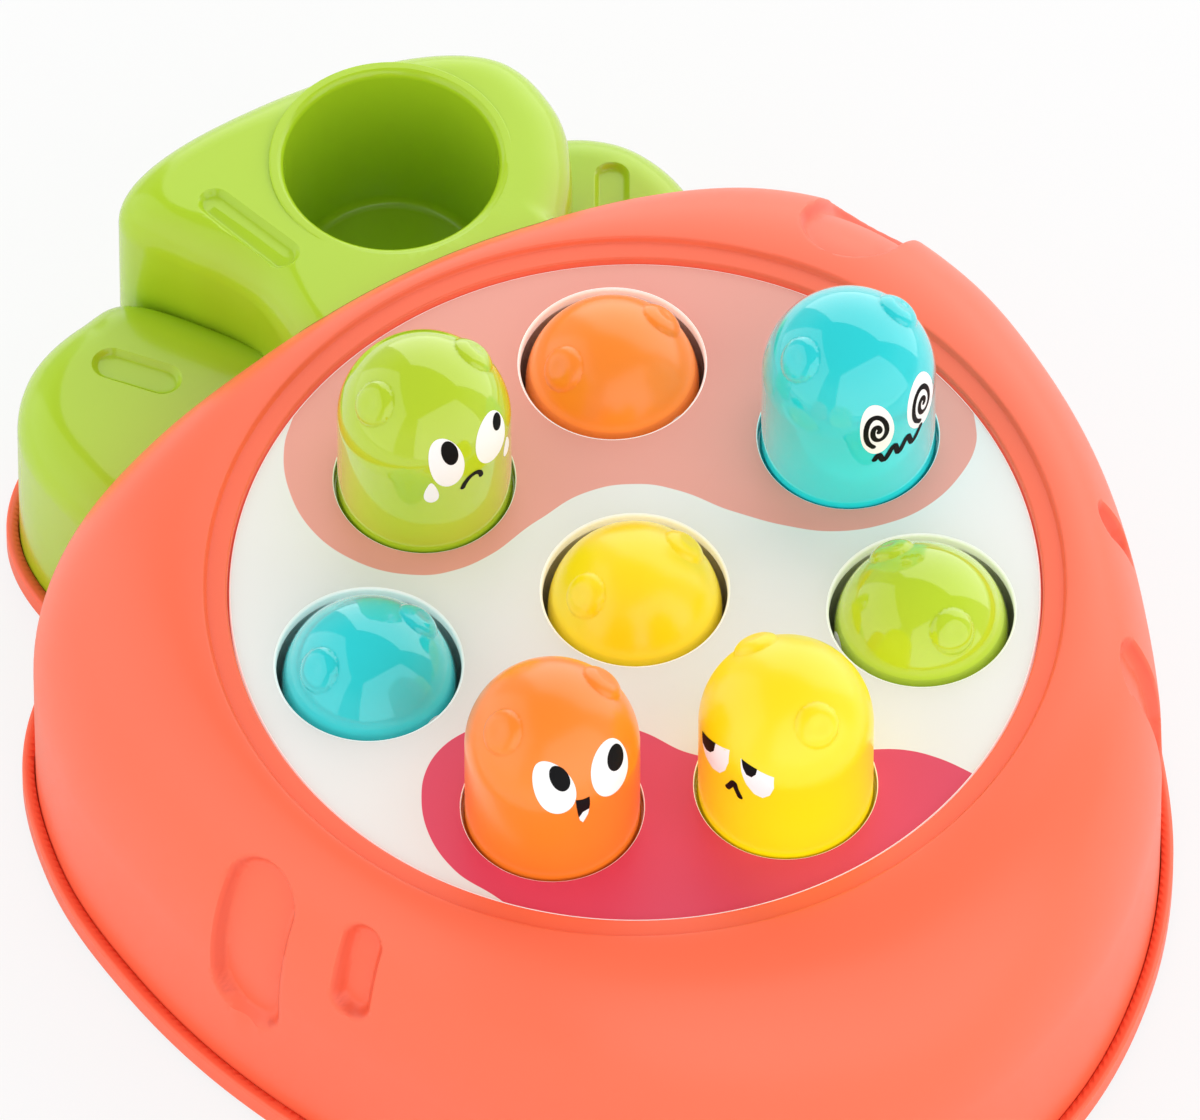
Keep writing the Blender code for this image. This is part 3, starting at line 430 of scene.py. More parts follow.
def makeCarrot():
    loop = carrotLoop(carrot["loopSteps"])
    frames = wrinkleFrames(loop[::4])
    columns, travelled = [], 0
    for i, point in enumerate(loop):
        before, after = loop[i - 1], loop[(i + 1) % len(loop)]
        along, out = (after - before).normalized(), point.normalized()
        near = any((out * centre.xy.length - centre.xy).length < width / 2 + carrot["wrinkleMargin"]
                   for centre, side, down, length, width in frames)
        travelled += (point - before).length
        if not columns or travelled >= (carrot["fineStep"] if near else carrot["wideStep"]):
            columns.append((point, Vector((along.y, -along.x))))
            travelled = 0
    rise, soft = carrot["crown"] - carrot["straight"], carrot["edgeRound"]
    start, rowStep, count = carrot["wallRows"]
    lower = [carrot["bottom"], carrot["bottom"] + soft, *carrot["lowRows"]]
    rows = [("outer", z, 0) for z in (*lower, *(start + rowStep * k for k in range(count)))]
    rows += [("outer", carrot["straight"] + rise * sin(turn), turn) for turn in arc(carrot["shoulderRows"])]
    crown, ledge, opening = carrot["crownRadius"], carrot["ledge"], carrot["openingRadius"]
    step = carrot["crown"] - ledge
    rows += [("circle", carrot["crown"] - step * share, crown - soft * shift)
             for share, shift in carrot["crownRows"]]
    rows += [("circle", height, reach) for reach, height in roundInto(opening, ledge, soft, 4)]
    rows += [("circle", carrot["seat"], opening), ("circle", carrot["seat"], carrot["seatRadius"]),
             ("circle", carrot["seatUnder"], carrot["seatRadius"]),
             ("circle", carrot["seatUnder"], carrot["innerRadius"]),
             ("circle", carrot["innerTop"] - carrot["innerStep"], carrot["innerRadius"])]
    count, low, high = carrot["innerRows"], carrot["straight"], carrot["innerTop"]
    turns = [pi / 2 * (1 - k / count) for k in range(count + 1)]
    rows += [("inner", low + (high - low) * sin(turn), turn) for turn in turns]
    rows.append(("inner", carrot["bottom"], 0))

    def place(point, normal, kind, z, turn):
        out, reach = point.normalized(), point.length
        if kind == "circle":    # its radius stands in the angle's place
            return flat(out.x * turn, out.y * turn, z)
        if kind == "inner":
            inside = reach - carrot["wall"] * carrot["innerShare"]
            radius = inside - (inside - carrot["innerRadius"] - carrot["innerStep"]) * (1 - cos(turn))
            return flat(out.x * radius, out.y * radius, z)
        radius = reach - (reach - crown) * (1 - cos(turn))
        spot = Vector((out.x * radius, out.y * radius, z))
        share = wrinkleShare(spot, frames)
        if share:
            run = max(reach - crown, 0.001)
            facing = Vector((normal.x * cos(turn) / run, normal.y * cos(turn) / run, sin(turn) / rise))
            spot -= facing.normalized() * carrot["wrinkleDepth"] * share
        return flat(spot.x, spot.y, spot.z)

    rings = [[place(point, normal, *row) for point, normal in columns] for row in rows]
    body = ringStack("carrotBody", rings, closed=True)
    notch = cylinder("cupNotch", leaf["cupOutside"] + carrot["notchGap"], *carrot["notchHeights"],
                     flat(*leaf["cupSpot"], 0))
    combine(body, notch, "DIFFERENCE")
    smoothEdges(body, carrot["smoothAngle"])
    # painted shade on the steep sides of the wrinkles, kept on each point
    shade = body.data.attributes.new("wrinkleShade", "FLOAT", "POINT")
    for point, value in zip(body.data.vertices, shade.data):
        spot = point.co - Vector((middle.x, middle.y, 0))
        if spot.z > carrot["shadeFrom"] and spot.xy.length > carrot["crownRadius"]:
            share = wrinkleShare(spot, frames)
            value.value = 4 * share * (1 - share)
    return body


# leaf

leaf = {
    "wall": 0.0024, "round": (0.0105, 0.01, 0.01), "bottom": 0.0042, "gap": 0.00006,
    "collarRadius": 0.0254, "collarRise": 0.00045, "collarDepth": 0.01,
    "lobes": (  # outline, top, fall to the back
        ((( -0.17, 0.72), (-0.215, 1.001), (-0.275, 1.131), (-0.333, 1.256), (-0.285, 1.333),
          (-0.125, 1.371), (0.115, 1.366), (0.325, 1.316), (0.463, 1.216), (0.487, 1.068),
          (0.438, 0.936), (0.361, 0.829), (0.29, 0.72)), 0.076, 0.003),
        (((-0.28, 0.66), (-0.5, 0.68), (-0.65, 0.78), (-0.69, 0.95), (-0.668, 1.09),
          (-0.58, 1.195), (-0.45, 1.24), (-0.33, 1.225), (-0.18, 1.0), (-0.1, 0.76)), 0.053, 0.003),
        (((0.1, 0.76), (0.24, 1.0), (0.4, 1.155), (0.53, 1.145), (0.63, 1.065),
          (0.672, 0.94), (0.655, 0.8), (0.56, 0.7), (0.4, 0.65), (0.24, 0.66)), 0.053, 0.003)),
    "cupSpot": (0.0158, 0.1222), "cupRadius": 0.02235, "cupOutside": 0.02475, "cupFloor": 0.032,
    "cupLip": 0.0021, "cupDraft": 0.0015,
    "grooves": (  # lobe, centre, length, width, angle
        (0, (-0.162, 1.098), 0.026, 0.0065, 104.7), (1, (-0.431, 1.056), 0.019, 0.0075, 126.6),
        (2, (0.532, 0.949), 0.015, 0.0068, 58.5)),
    "grooveSides": (  # inset, height
        (0.003, -0.0014), (0.0011, -0.0014), (0.0007, -0.0012), (0.0003, -0.0007), (0.0, -0.0003),
        (-0.0004, 0.00005), (-0.0012, 0.0008), (-0.0012, 0.004)),
    "collarRound": 0.0004, "wallUnder": 0.0015, "lipSpare": 0.0006, "lipOver": 0.00013, "floorRound": 0.0022,
    "boreTop": 0.085, "spaceTop": 0.09, "lobeSteps": (14, 10), "coreSteps": (6, 5), "coreUnder": 0.002,
    "topShares": (0.25, 0.5, 0.75, 1.0), "formSteps": (8, 24), "grooveSteps": 16, "probeFrom": 0.2,
    "probeLow": 0.04, "smoothAngle": 38,
}


def lobeLoop(shares, steps):
    reach = carrot["halfWidth"]
    return smoothLoop([(x * reach, y * reach) for x, y in reversed(shares)], steps)


def lobeTop(number, y):
    shares, top, fall = leaf["lobes"][number]
    reach = [share[1] * carrot["halfWidth"] for share in shares]
    return top - fall * (y - min(reach)) / (max(reach) - min(reach))


def makeLobe(name, number, shrink, bottom, steps, rounds):
    loop = drawIn(lobeLoop(leaf["lobes"][number][0], steps), shrink)
    over, centre = leaf["round"][number] - shrink, centreOf(loop)
    rings = [ringAt([centre] * len(loop), bottom), ringAt(loop, bottom)]
    for turn in arc(rounds):
        ring = drawIn(loop, over * (1 - cos(turn)))
        rings.append([flat(p.x, p.y, lobeTop(number, p.y) - shrink - over * (1 - sin(turn))) for p in ring])
    last = drawIn(loop, over)
    for share in leaf["topShares"]:
        rings.append([flat(q.x, q.y, lobeTop(number, q.y) - shrink)
                      for q in (p.lerp(centre, share) for p in last)])
    return ringStack(name, rings)


def bodyForm(name, grow, bottom):
    # the body's outside as a solid, grown or shrunk, to cut the leaf with
    steps, rounds = leaf["formSteps"]
    loop = carrotLoop(steps)
    outer = movedOut(loop, grow)
    crown = [point.normalized() * (carrot["crownRadius"] + grow) for point in loop]
    top = carrot["crown"] + grow
    rings = [[flat(0, 0, bottom)] * len(loop), ringAt(outer, bottom)]
    for turn in arc(rounds):
        z = carrot["straight"] + (top - carrot["straight"]) * sin(turn)
        rings.append(ringAt([a.lerp(b, 1 - cos(turn)) for a, b in zip(outer, crown)], z))
    rings.append([flat(0, 0, top)] * len(loop))
    return ringStack(name, rings)


def makeGroove(piece, number, shares, length, width, angle):
    centre = Vector((shares[0], shares[1])) * carrot["halfWidth"]
    along = Vector((cos(radians(angle)), sin(radians(angle))))
    across = Vector((-along.y, along.x))

    def topAt(spot):
        found, hit, normal, face = piece.ray_cast(flat(spot.x, spot.y, leaf["probeFrom"]), (0, 0, -1))
        return hit.z if found and hit.z > leaf["probeLow"] else lobeTop(number, spot.y)

    rings = []
    for inset, lift in leaf["grooveSides"]:
        half = width / 2 - inset
        straight = (length - width) / 2
        ring = []
        for end in (1, -1):
            for k in range(leaf["grooveSteps"] + 1):
                turn = pi * k / leaf["grooveSteps"] - pi / 2
                spot = centre + along * end * (straight + half * cos(turn)) + across * end * half * sin(turn)
                ring.append(flat(spot.x, spot.y, topAt(spot) + lift))
        rings.append(ring)
    low, high = (flat(centre.x, centre.y, topAt(centre) + leaf["grooveSides"][end][1]) for end in (0, -1))
    count = len(rings[0])
    return ringStack("groove", [[low] * count, *rings, [high] * count])


def threeLobes(names, shrink, bottom, steps):
    first = makeLobe(names[0], 0, shrink, bottom, *steps)
    for number in (1, 2):
        combine(first, makeLobe(names[1], number, shrink, bottom, *steps), "UNION")
    return first


def makeLeaf():
    piece = threeLobes(("leafTop", "lobe"), 0, leaf["bottom"], leaf["lobeSteps"])
    spot = flat(*leaf["cupSpot"], 0)
    rim = lobeTop(0, leaf["cupSpot"][1]) + leaf["collarRise"]
    outer, low = leaf["collarRadius"], rim - leaf["collarDepth"]
    profile = [(0, low), (outer, low), *roundOver(outer, rim, leaf["collarRound"], 5), (0, rim)]
    combine(piece, spun("collar", profile, spot), "UNION")
    combine(piece, bodyForm("bodyOutside", leaf["gap"], 0), "DIFFERENCE")
    for groove in leaf["grooves"]:
        combine(piece, makeGroove(piece, *groove), "DIFFERENCE")
    base, wall = leaf["cupFloor"] - leaf["wall"], leaf["cupOutside"]
    combine(piece, cylinder("cupWall", wall, base, rim - leaf["wallUnder"], spot), "UNION")
    lip, wide = leaf["cupLip"], leaf["cupRadius"]
    narrow, floor, soft = wide - leaf["cupDraft"], leaf["cupFloor"], leaf["floorRound"]
    mouth = wide + lip + leaf["lipSpare"]
    profile = [(0, leaf["boreTop"]), (mouth, leaf["boreTop"]), (mouth, rim + leaf["lipSpare"])]
    profile += roundInto(wide, rim + leaf["lipOver"], lip, 8)
    profile += [(narrow - soft * (1 - cos(turn)), floor + soft * (1 - sin(turn))) for turn in arc(8)]
    combine(piece, spun("cupBore", [*profile, (0, floor)], spot), "DIFFERENCE")
    core = threeLobes(("core", "coreLobe"), leaf["wall"], 0, leaf["coreSteps"])
    combine(core, bodyForm("bodyInside", leaf["gap"] + leaf["wall"], -leaf["coreUnder"]), "DIFFERENCE")
    combine(core, cylinder("cupSpace", wall, base, leaf["spaceTop"], spot), "DIFFERENCE")
    combine(piece, core, "DIFFERENCE")
    smoothEdges(piece, leaf["smoothAngle"])
    return piece


def wrinkleShadedMaterial():
    # painted shade: the steep sides of the wrinkles are darkened in colour, where shade falls in them
    material = finishMaterial("wrinkledCoralFinish", looks["coral"])
    tree = material.node_tree
    surface = next(node for node in tree.nodes if node.type == "GROUP")
    shade = addNode(tree, "ShaderNodeAttribute", attribute_name="wrinkleShade")
    share = mathNode(tree, "MULTIPLY", shade.outputs["Fac"], carrot["shadeShare"])
    base = looks["coral"]["colour"]
    tint = [value * part for value, part in zip(base, carrot["shadeTint"])]
    tree.links.new(mixColour(tree, share, (*base, 1), (*tint, 1)), surface.inputs["Colour"])
    return material


body = makeCarrot()
body.data.materials.clear()
body.data.materials.append(wrinkleShadedMaterial())
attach(body, "housing")
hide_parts("carrot_body")
print("carrot body made,", len(body.data.polygons), "faces")

leafPiece = makeLeaf()
dress(leafPiece, "leafGreen")
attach(leafPiece, "housing")
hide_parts("leaf_top")
print("leaf made,", len(leafPiece.data.polygons), "faces")

# base tray

tray = {
    "foot": 0.0015, "floor": 0.0039, "top": 0.007, "gap": 0.00025, "outside": 0.00276, "edgeRound": 0.0007,
    "keptInside": 0.0015, "ringInside": 0.0028, "above": 0.002, "keptTop": 0.1, "smoothAngle": 35,
}


def trayLoops(steps):
    return [carrotLoop(steps), *(lobeLoop(shares, steps * 3 // 4) for shares, top, fall in leaf["lobes"])]


def prismOf(name, distance, levels, steps=16):
    # the whole outline moved out, as one solid of rings (height, extra)
    things = []
    for loop in trayLoops(steps):
        centre = [centreOf(loop)] * len(loop)
        rings = [ringAt(movedOut(loop, distance + extra), height) for height, extra in levels]
        things.append(ringStack(name, [ringAt(centre, levels[0][0]), *rings, ringAt(centre, levels[-1][0])]))
    for other in things[1:]:
        combine(things[0], other, "UNION")
    return things[0]


def makeTray():
    foot, top, soft = tray["foot"], tray["top"], tray["edgeRound"]
    levels = [(foot + soft * (1 - sin(turn)), -soft * (1 - cos(turn))) for turn in reversed(arc(4))]
    levels += [(top - soft * (1 - sin(turn)), -soft * (1 - cos(turn))) for turn in arc(4)]
    rim = prismOf("baseTray", tray["outside"], levels)
    combine(rim, prismOf("pocket", tray["gap"], ((tray["floor"], 0), (top + tray["above"], 0))), "DIFFERENCE")
    combine(rim, prismOf("hollow", -tray["ringInside"], ((0, 0), (top, 0)), 4), "DIFFERENCE")
    core = copyOf(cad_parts["base_tray"], "trayCore")
    cleanMesh(core)
    combine(core, prismOf("kept", -tray["keptInside"], ((0, 0), (tray["keptTop"], 0)), 4), "INTERSECT")
    combine(rim, core, "UNION")
    smoothEdges(rim, tray["smoothAngle"])
    return rim


trayPiece = makeTray()
dress(trayPiece, "coral")
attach(trayPiece, "housing")
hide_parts("base_tray")
print("tray made,", len(trayPiece.data.polygons), "faces")

# panel and its print

panel = {
    "radius": 0.0832, "thickness": 0.0024, "holeRadius": 0.019, "rimRound": 0.0007,
    "sleeveBore": 0.0209, "sleeveRadius": 0.0223, "sleeveBottom": 0.0448, "edgeRound": 0.0004,
    "upHoleRadius": 0.0187, "upRimRound": 0.0003,    # holes of the moles that stand up
    "turn": -31.5, "holeGlow": 0.3, "glowColour": (0.95, 0.93, 0.9, 1), "glowDepth": 0.0075,
    "skin": 0.00002, "sleeveJoint": 0.0012, "sleeveSpare": 0.0001, "rimSpare": 0.0004, "rimOver": 0.0002,
    "boreTop": 0.01, "boreBelow": 0.002,
    "plateSteps": 240, "sleeveSteps": 64, "smoothAngle": 35, "waveScale": 10, "printSharpness": 9000,
    "salmon": (0.86, 0.365, 0.3, 1), "crimson": (0.75, 0.055, 0.122, 1),
    "salmonCentre": (0.0, 0.06), "crimsonCentre": (0.0, -0.06),
    # wave edges in millimetres, across and up from the panel's centre as the print is turned
    "salmonEdge": ((-66.5, 57.0), (-70.0, 45.0), (-72.1, 36.0), (-71.2, 26.0), (-66.5, 15.5), (-58.4, 8.0),
                   (-44.5, 3.8), (-36.5, 5.2), (-29.7, 8.9), (-19.5, 18.0), (-9.5, 25.0), (0.0, 26.9),
                   (8.5, 25.4), (19.5, 20.2), (29.9, 16.6), (40.4, 14.9), (50.8, 16.6), (60.2, 21.5),
                   (66.8, 29.1), (70.0, 36.5), (70.0, 42.5), (68.2, 50.0), (65.0, 57.0)),
    "crimsonEdge": ((-18.0, -86.0), (-27.7, -77.7), (-36.7, -70.6), (-41.8, -62.2), (-43.6, -53.0),
                    (-42.6, -45.3), (-39.5, -39.8), (-34.0, -35.4), (-24.0, -31.6), (-10.0, -31.6),
                    (1.8, -35.9), (12.1, -41.5), (25.0, -43.4), (38.0, -42.0), (49.0, -40.2),
                    (55.5, -40.4), (61.5, -42.2), (69.7, -46.8), (76.0, -51.0)),
}
moleNames = [f"{colour}_{state}" for colour in ("teal", "orange", "green", "yellow")
             for state in ("up", "down")]


def moleBox(name):
    low, high = (Vector(corner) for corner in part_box("mole_" + name))
    return (low + high) / 2, low.z


def makePanel():
    top, under = panelTop, panelTop - panel["thickness"]
    profile = [(0, under), (panel["radius"], under)]
    profile += [*roundOver(panel["radius"], top, panel["edgeRound"], 4), (0, top)]
    plate = spun("molePanel", profile, flat(0, 0, 0), panel["plateSteps"])
    outer, bottom, joint = panel["sleeveRadius"], panel["sleeveBottom"], under + panel["sleeveJoint"]
    bore, below = panel["sleeveBore"], bottom - panel["boreBelow"]
    sleeves, bores = [], []
    for name in moleNames:
        spot = moleBox(name)[0]
        place = (spot.x, spot.y, 0)
        sleeves.append(cylinder("sleeve", outer, bottom, joint, place, panel["sleeveSteps"]))
        up = name.endswith("up")
        hole, soft = panel["upHoleRadius" if up else "holeRadius"], panel["upRimRound" if up else "rimRound"]
        wide, over = hole + soft + panel["rimSpare"], top + panel["boreTop"]
        profile = [(0, over), (wide, over), (wide, top + panel["rimOver"]), *roundInto(hole, top, soft, 6)]
        profile += [(hole, under), (bore, under), (bore, below), (0, below)]
        bores.append(spun("bore", profile, place))
    combine(plate, joinAll(sleeves), "UNION")
    combine(plate, joinAll(bores), "DIFFERENCE")
    smoothEdges(plate, panel["smoothAngle"])
    return plate


def waveMask(tree, across, upward, centre, edge):
    # inside the wave: nearer to its centre than the curve says, with the cut of the angle off the panel
    away = 1 if centre[1] < 0 else -1
    spots = []
    for a, b in edge:
        dx, dy = a / 1000 - centre[0], b / 1000 - centre[1]
        spots.append((atan2(dx, dy * away), hypot(dx, dy)))
    spots.sort()
    low, high = spots[0][0], spots[-1][0]
    x = mathNode(tree, "SUBTRACT", across, centre[0])
    y = mathNode(tree, "SUBTRACT", upward, centre[1])
    angle = mathNode(tree, "ARCTAN2", x, mathNode(tree, "MULTIPLY", y, away))
    share = mathNode(tree, "MULTIPLY_ADD", angle, 1 / (high - low), -low / (high - low))
    curve = tree.nodes.new("ShaderNodeFloatCurve")
    line = curve.mapping.curves[0]
    wanted = [((turn - low) / (high - low), reach * panel["waveScale"]) for turn, reach in spots]
    line.points[0].location = wanted[0]
    line.points[1].location = wanted[-1]
    for spot in wanted[1:-1]:
        line.points.new(*spot)
    for point in line.points:
        point.handle_type = "AUTO"
    curve.mapping.update()
    tree.links.new(share, curve.inputs["Value"])
    squares = mathNode(tree, "ADD", mathNode(tree, "MULTIPLY", x, x), mathNode(tree, "MULTIPLY", y, y))
    reach = mathNode(tree, "MULTIPLY", curve.outputs["Value"], 1 / panel["waveScale"])
    inside = mathNode(tree, "SUBTRACT", reach, mathNode(tree, "SQRT", squares))
    inside = mathNode(tree, "MULTIPLY", inside, panel["printSharpness"])
    off = mathNode(tree, "ABSOLUTE", mathNode(tree, "SUBTRACT", share, 0.5))
    beyond = mathNode(tree, "MULTIPLY", mathNode(tree, "GREATER_THAN", off, 0.5), panel["printSharpness"])
    node = addNode(tree, "ShaderNodeClamp")
    tree.links.new(mathNode(tree, "ADD", mathNode(tree, "ADD", inside, 0.5), beyond), node.inputs["Value"])
    return node.outputs[0]


def printedMaterial():
    material = finishMaterial("printedPanelFinish", looks["panelWhite"])
    tree = material.node_tree
    surface = next(node for node in tree.nodes if node.type == "GROUP")
    place = tree.nodes.new("ShaderNodeTexCoord")
    turned = addNode(tree, "ShaderNodeMapping", vector_type="TEXTURE")
    turned.inputs["Location"].default_value = (middle.x, middle.y, 0)
    turned.inputs["Rotation"].default_value = (0, 0, radians(panel["turn"]))
    link = tree.links.new
    link(place.outputs["Object"], turned.inputs["Vector"])
    split = tree.nodes.new("ShaderNodeSeparateXYZ")
    link(turned.outputs["Vector"], split.inputs["Vector"])
    across, upward, height = split.outputs
    onTop = mathNode(tree, "GREATER_THAN", height, panelTop - panel["skin"])
    # painted light: the walls of the holes glow, brightest just under the panel's top
    heights = (panelTop - panel["glowDepth"], panelTop - moleGlow["below"])
    lit = mathNode(tree, "MULTIPLY", softRamp(tree, height, heights, (0, 1)),
                   mathNode(tree, "SUBTRACT", 1.0, onTop))
    shader = tree.nodes["Principled BSDF"]
    shader.inputs["Emission Color"].default_value = panel["glowColour"]
    link(mathNode(tree, "MULTIPLY", lit, panel["holeGlow"]), shader.inputs["Emission Strength"])
    colour = (*looks["panelWhite"]["colour"], 1)
    for name in ("salmon", "crimson"):
        mask = waveMask(tree, across, upward, panel[name + "Centre"], panel[name + "Edge"])
        colour = mixColour(tree, mathNode(tree, "MULTIPLY", mask, onTop), colour, panel[name])
    link(colour, surface.inputs["Colour"])
    return material


plate = makePanel()
plate.data.materials.clear()
plate.data.materials.append(printedMaterial())
plate.data.materials.append(materials["innerWhite"])
upSpots = [moleBox(name)[0] for name in moleNames if name.endswith("up")]
sleeveReach = panel["sleeveRadius"] + panel["sleeveSpare"]
for face in plate.data.polygons:
    if panel["sleeveBottom"] < face.center.z < panelTop - panel["upRimRound"]:
        if any((face.center - spot).xy.length < sleeveReach for spot in upSpots):
            face.material_index = 1
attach(plate, "housing")
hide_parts("mole_panel")
print("panel made,", len(plate.data.polygons), "faces")

# moles

mole = {
    "radius": 0.0179, "wall": 0.0022, "domeHeight": 0.0262, "flangeRadius": 0.0205, "flangeHeight": 0.0017,
    "earElevation": 47, "lugWidth": 0.0022, "lugReach": 0.0215, "lugHeight": 0.0014,
    "columns": 240, "domeRows": 84, "innerRows": 12, "wallRows": (0.85, 0.6, 0.3), "edgeRound": 0.0003,
    "smoothAngle": 38,
    "earRise": 0.0016, "earRadius": 0.0048, "earPower": 0.6, "earDish": 0.00045, "dishRadius": 0.0027,
    "facing": {"green_down": 270, "yellow_up": 270},
}


def earHeight(distance):
    # a low round button with a shallow dish
    share = max(1 - (distance / mole["earRadius"]) ** 2, 0)
    dish = softStep(1 - distance / mole["dishRadius"])
    return mole["earRise"] * share ** mole["earPower"] - mole["earDish"] * dish


def makeMole():
    radius, dome, wall = mole["radius"], mole["domeHeight"], mole["wall"]
    rise, soft = radians(mole["earElevation"]), mole["edgeRound"]
    ears = [Vector((side * cos(rise), 0, sin(rise))) for side in (1, -1)]
    inside = radius - wall
    foot, brim = mole["flangeHeight"], mole["flangeRadius"]
    lower = [*((radius, dome * share) for share in mole["wallRows"]), (radius, foot + soft),
             (radius + soft, foot), (brim - soft, foot), (brim, foot - soft), (brim, 0), (inside, 0)]
    lower += [(inside * cos(turn), dome + inside * sin(turn)) for turn in arc(mole["innerRows"])]

    def place(column, row):
        turn = 2 * pi * column / mole["columns"]
        if row > mole["domeRows"]:
            reach, height = lower[row - mole["domeRows"] - 1]
            return (reach * cos(turn), reach * sin(turn), height)
        tilt = pi / 2 * row / mole["domeRows"]
        out = Vector((sin(tilt) * cos(turn), sin(tilt) * sin(turn), cos(tilt)))
        lift = sum(earHeight(radius * out.angle(ear)) for ear in ears)
        return out * (radius + lift) + Vector((0, 0, dome))

    cap = wrappedGrid("moleCap", mole["columns"], mole["domeRows"] + len(lower), place)
    lugs = []
    for quarter in range(4):
        bpy.ops.mesh.primitive_cube_add(size=1)
        lug = bpy.context.object
        inner, outer = radius - wall / 2, mole["lugReach"]
        lug.matrix_world = (Matrix.Rotation(radians(45 + 90 * quarter), 4, "Z")
                            @ Matrix.Translation(((inner + outer) / 2, 0, mole["lugHeight"] / 2))
                            @ Matrix.Diagonal((outer - inner, mole["lugWidth"], mole["lugHeight"], 1)))
        settle(lug)
        lugs.append(lug)
    combine(cap, joinAll(lugs), "UNION")
    smoothEdges(cap, mole["smoothAngle"])
    return cap


pattern = makeMole()
caps = {}
for name in moleNames:
    spot, low = moleBox(name)
    cap = copyOf(pattern, "cap_" + name)
    cap.location = (spot.x, spot.y, low)
    cap.rotation_euler = (0, 0, radians(mole["facing"].get(name, 0)))
    settle(cap)
    colour, state = name.split("_")
    dress(cap, colour + ("Down" if state == "down" else ""))
    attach(cap, "mole_" + name)
    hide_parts("mole_" + name)
    caps[name] = cap
bpy.data.objects.remove(pattern, do_unlink=True)
print("moles made,", len(caps), "caps")

# painted faces, in millimetres round and up from the dome's equator at the front

def twoOvals(apart, y, wide, tall, shift=0):
    return [("oval", shift - apart, y, wide, tall), ("oval", shift + apart, y, wide, tall)]


faces = {
    "teal_up": {
        "whites": [("oval", -3.8, 2.1, 3.7, 7.1), ("oval", 8.3, 2.2, 5.0, 6.8)],
        "blacks": [("spiral", -3.7, 2.2, 1.0), ("spiral", 8.4, 2.2, 1.25),
                   ("stroke", 1.3, ((-4.5, -6.9), (-3.6, -5.6), (-2.4, -7.9), (-0.1, -4.3), (1.0, -7.4),
                                    (3.3, -3.9), (4.6, -7.0), (7.3, -4.2)))],
    },
    "green_up": {
        "whites": [("oval", -4.5, 5.5, 3.7, 6.3), ("oval", 7.2, 5.4, 5.0, 5.5),
                   ("drop", -8.3, -2.2, 1.45, 3.3), ("drop", 12.2, -2.0, 1.5, 2.8)],
        "blacks": [("oval", -3.4, 8.1, 1.75, 2.85), ("oval", 9.8, 7.5, 1.6, 1.7),
                   ("stroke", 1.15, ((-1.6, -2.7), (-0.9, -1.2), (0.3, 0.0), (1.7, 0.2), (2.6, -0.6),
                                     (2.9, -1.7)))],
    },
    "orange_up": {
        "whites": [("oval", -8.6, 7.0, 4.3, 6.4), ("oval", 4.5, 6.9, 5.2, 6.3)],
        "blacks": [("oval", -6.9, 9.6, 2.0, 2.9), ("oval", 6.3, 8.5, 2.5, 2.65),
                   ("shape", ((-4.8, 3.9), (-3.3, 3.6), (-1.8, 3.8), (-1.9, 1.6), (-2.4, -1.2), (-3.5, -3.6),
                              (-4.2, -2.6), (-4.6, -0.2), (-4.8, 2.0)))],
        "tooth": [("shape", ((-4.35, -1.7), (-3.5, -0.1), (-2.15, 0.4), (-2.4, -1.3), (-3.5, -3.7),
                             (-4.15, -2.7)))],
    },
    "yellow_up": {
        "whites": [("shape", ((-5.0, 3.2), (4.2, 6.9), (5.0, 3.8), (4.5, 0.9), (3.0, -1.4), (0.6, -2.4),
                              (-2.2, -1.6), (-4.0, 0.5))),
                   ("shape", ((7.2, 6.7), (15.2, 4.5), (15.7, 1.4), (14.9, -1.2), (13.4, -2.5), (11.6, -1.9),
                              (9.9, 0.4), (8.3, 3.6)))],
        "blacks": [("shape", ((-5.0, 3.3), (0.4, 5.5), (0.6, 3.4), (-0.4, 1.9), (-2.0, 0.9), (-3.9, 1.0))),
                   ("shape", ((7.4, 6.7), (11.3, 5.7), (11.4, 4.3), (10.7, 3.2), (9.5, 3.4), (8.4, 4.8))),
                   ("stroke", 1.3, ((5.3, -4.0), (5.9, -2.9), (6.9, -1.1), (7.5, -2.9), (8.4, -4.9)))],
    },
    "teal_down": {
        "whites": twoOvals(5.0, -2.0, 3.8, 5.6),
        "blacks": [*twoOvals(5.0, -1.2, 1.8, 2.8, 0.8),
                   ("stroke", 1.1, ((-3.0, -9.2), (-1.6, -10.6), (0.0, -11.1), (1.6, -10.6), (3.0, -9.2)))],
    },
    "orange_down": {
        "whites": twoOvals(4.8, -2.0, 4.0, 5.4),
        "blacks": [*twoOvals(4.8, -3.4, 1.9, 2.6), ("oval", 0, -10.2, 1.6, 2.0)],
    },
    "green_down": {
        "whites": twoOvals(5.0, -2.0, 3.7, 5.4),
        "blacks": [*twoOvals(5.0, -1.6, 1.8, 2.6, -1.0),
                   ("stroke", 1.1, ((-3.2, -10.4), (-1.2, -9.8), (1.0, -9.8), (3.2, -10.4)))],
    },
    "yellow_down": {
        "whites": twoOvals(4.9, -2.2, 3.8, 5.2),
        "blacks": [*twoOvals(4.3, -2.6, 1.8, 2.6),
                   ("stroke", 1.1, ((-2.6, -9.4), (-1.3, -10.6), (0.0, -9.9), (1.3, -10.6), (2.6, -9.4)))],
    },
}
faceLift = {"whites": 0.00005, "blacks": 0.0001, "tooth": 0.00015}    # metres above the cap
paint = {"thickness": 0.00003, "smoothAngle": 40, "curveSteps": 7, "endSteps": 5, "ovalSteps": 48,
         "patchRows": 5, "dropPinch": 0.42}
spiral = {"start": -112, "turn": 640, "steps": 24, "reach": 2.75, "power": 0.9, "heart": 0.15, "tall": 1.72,
          "line": 1.1}


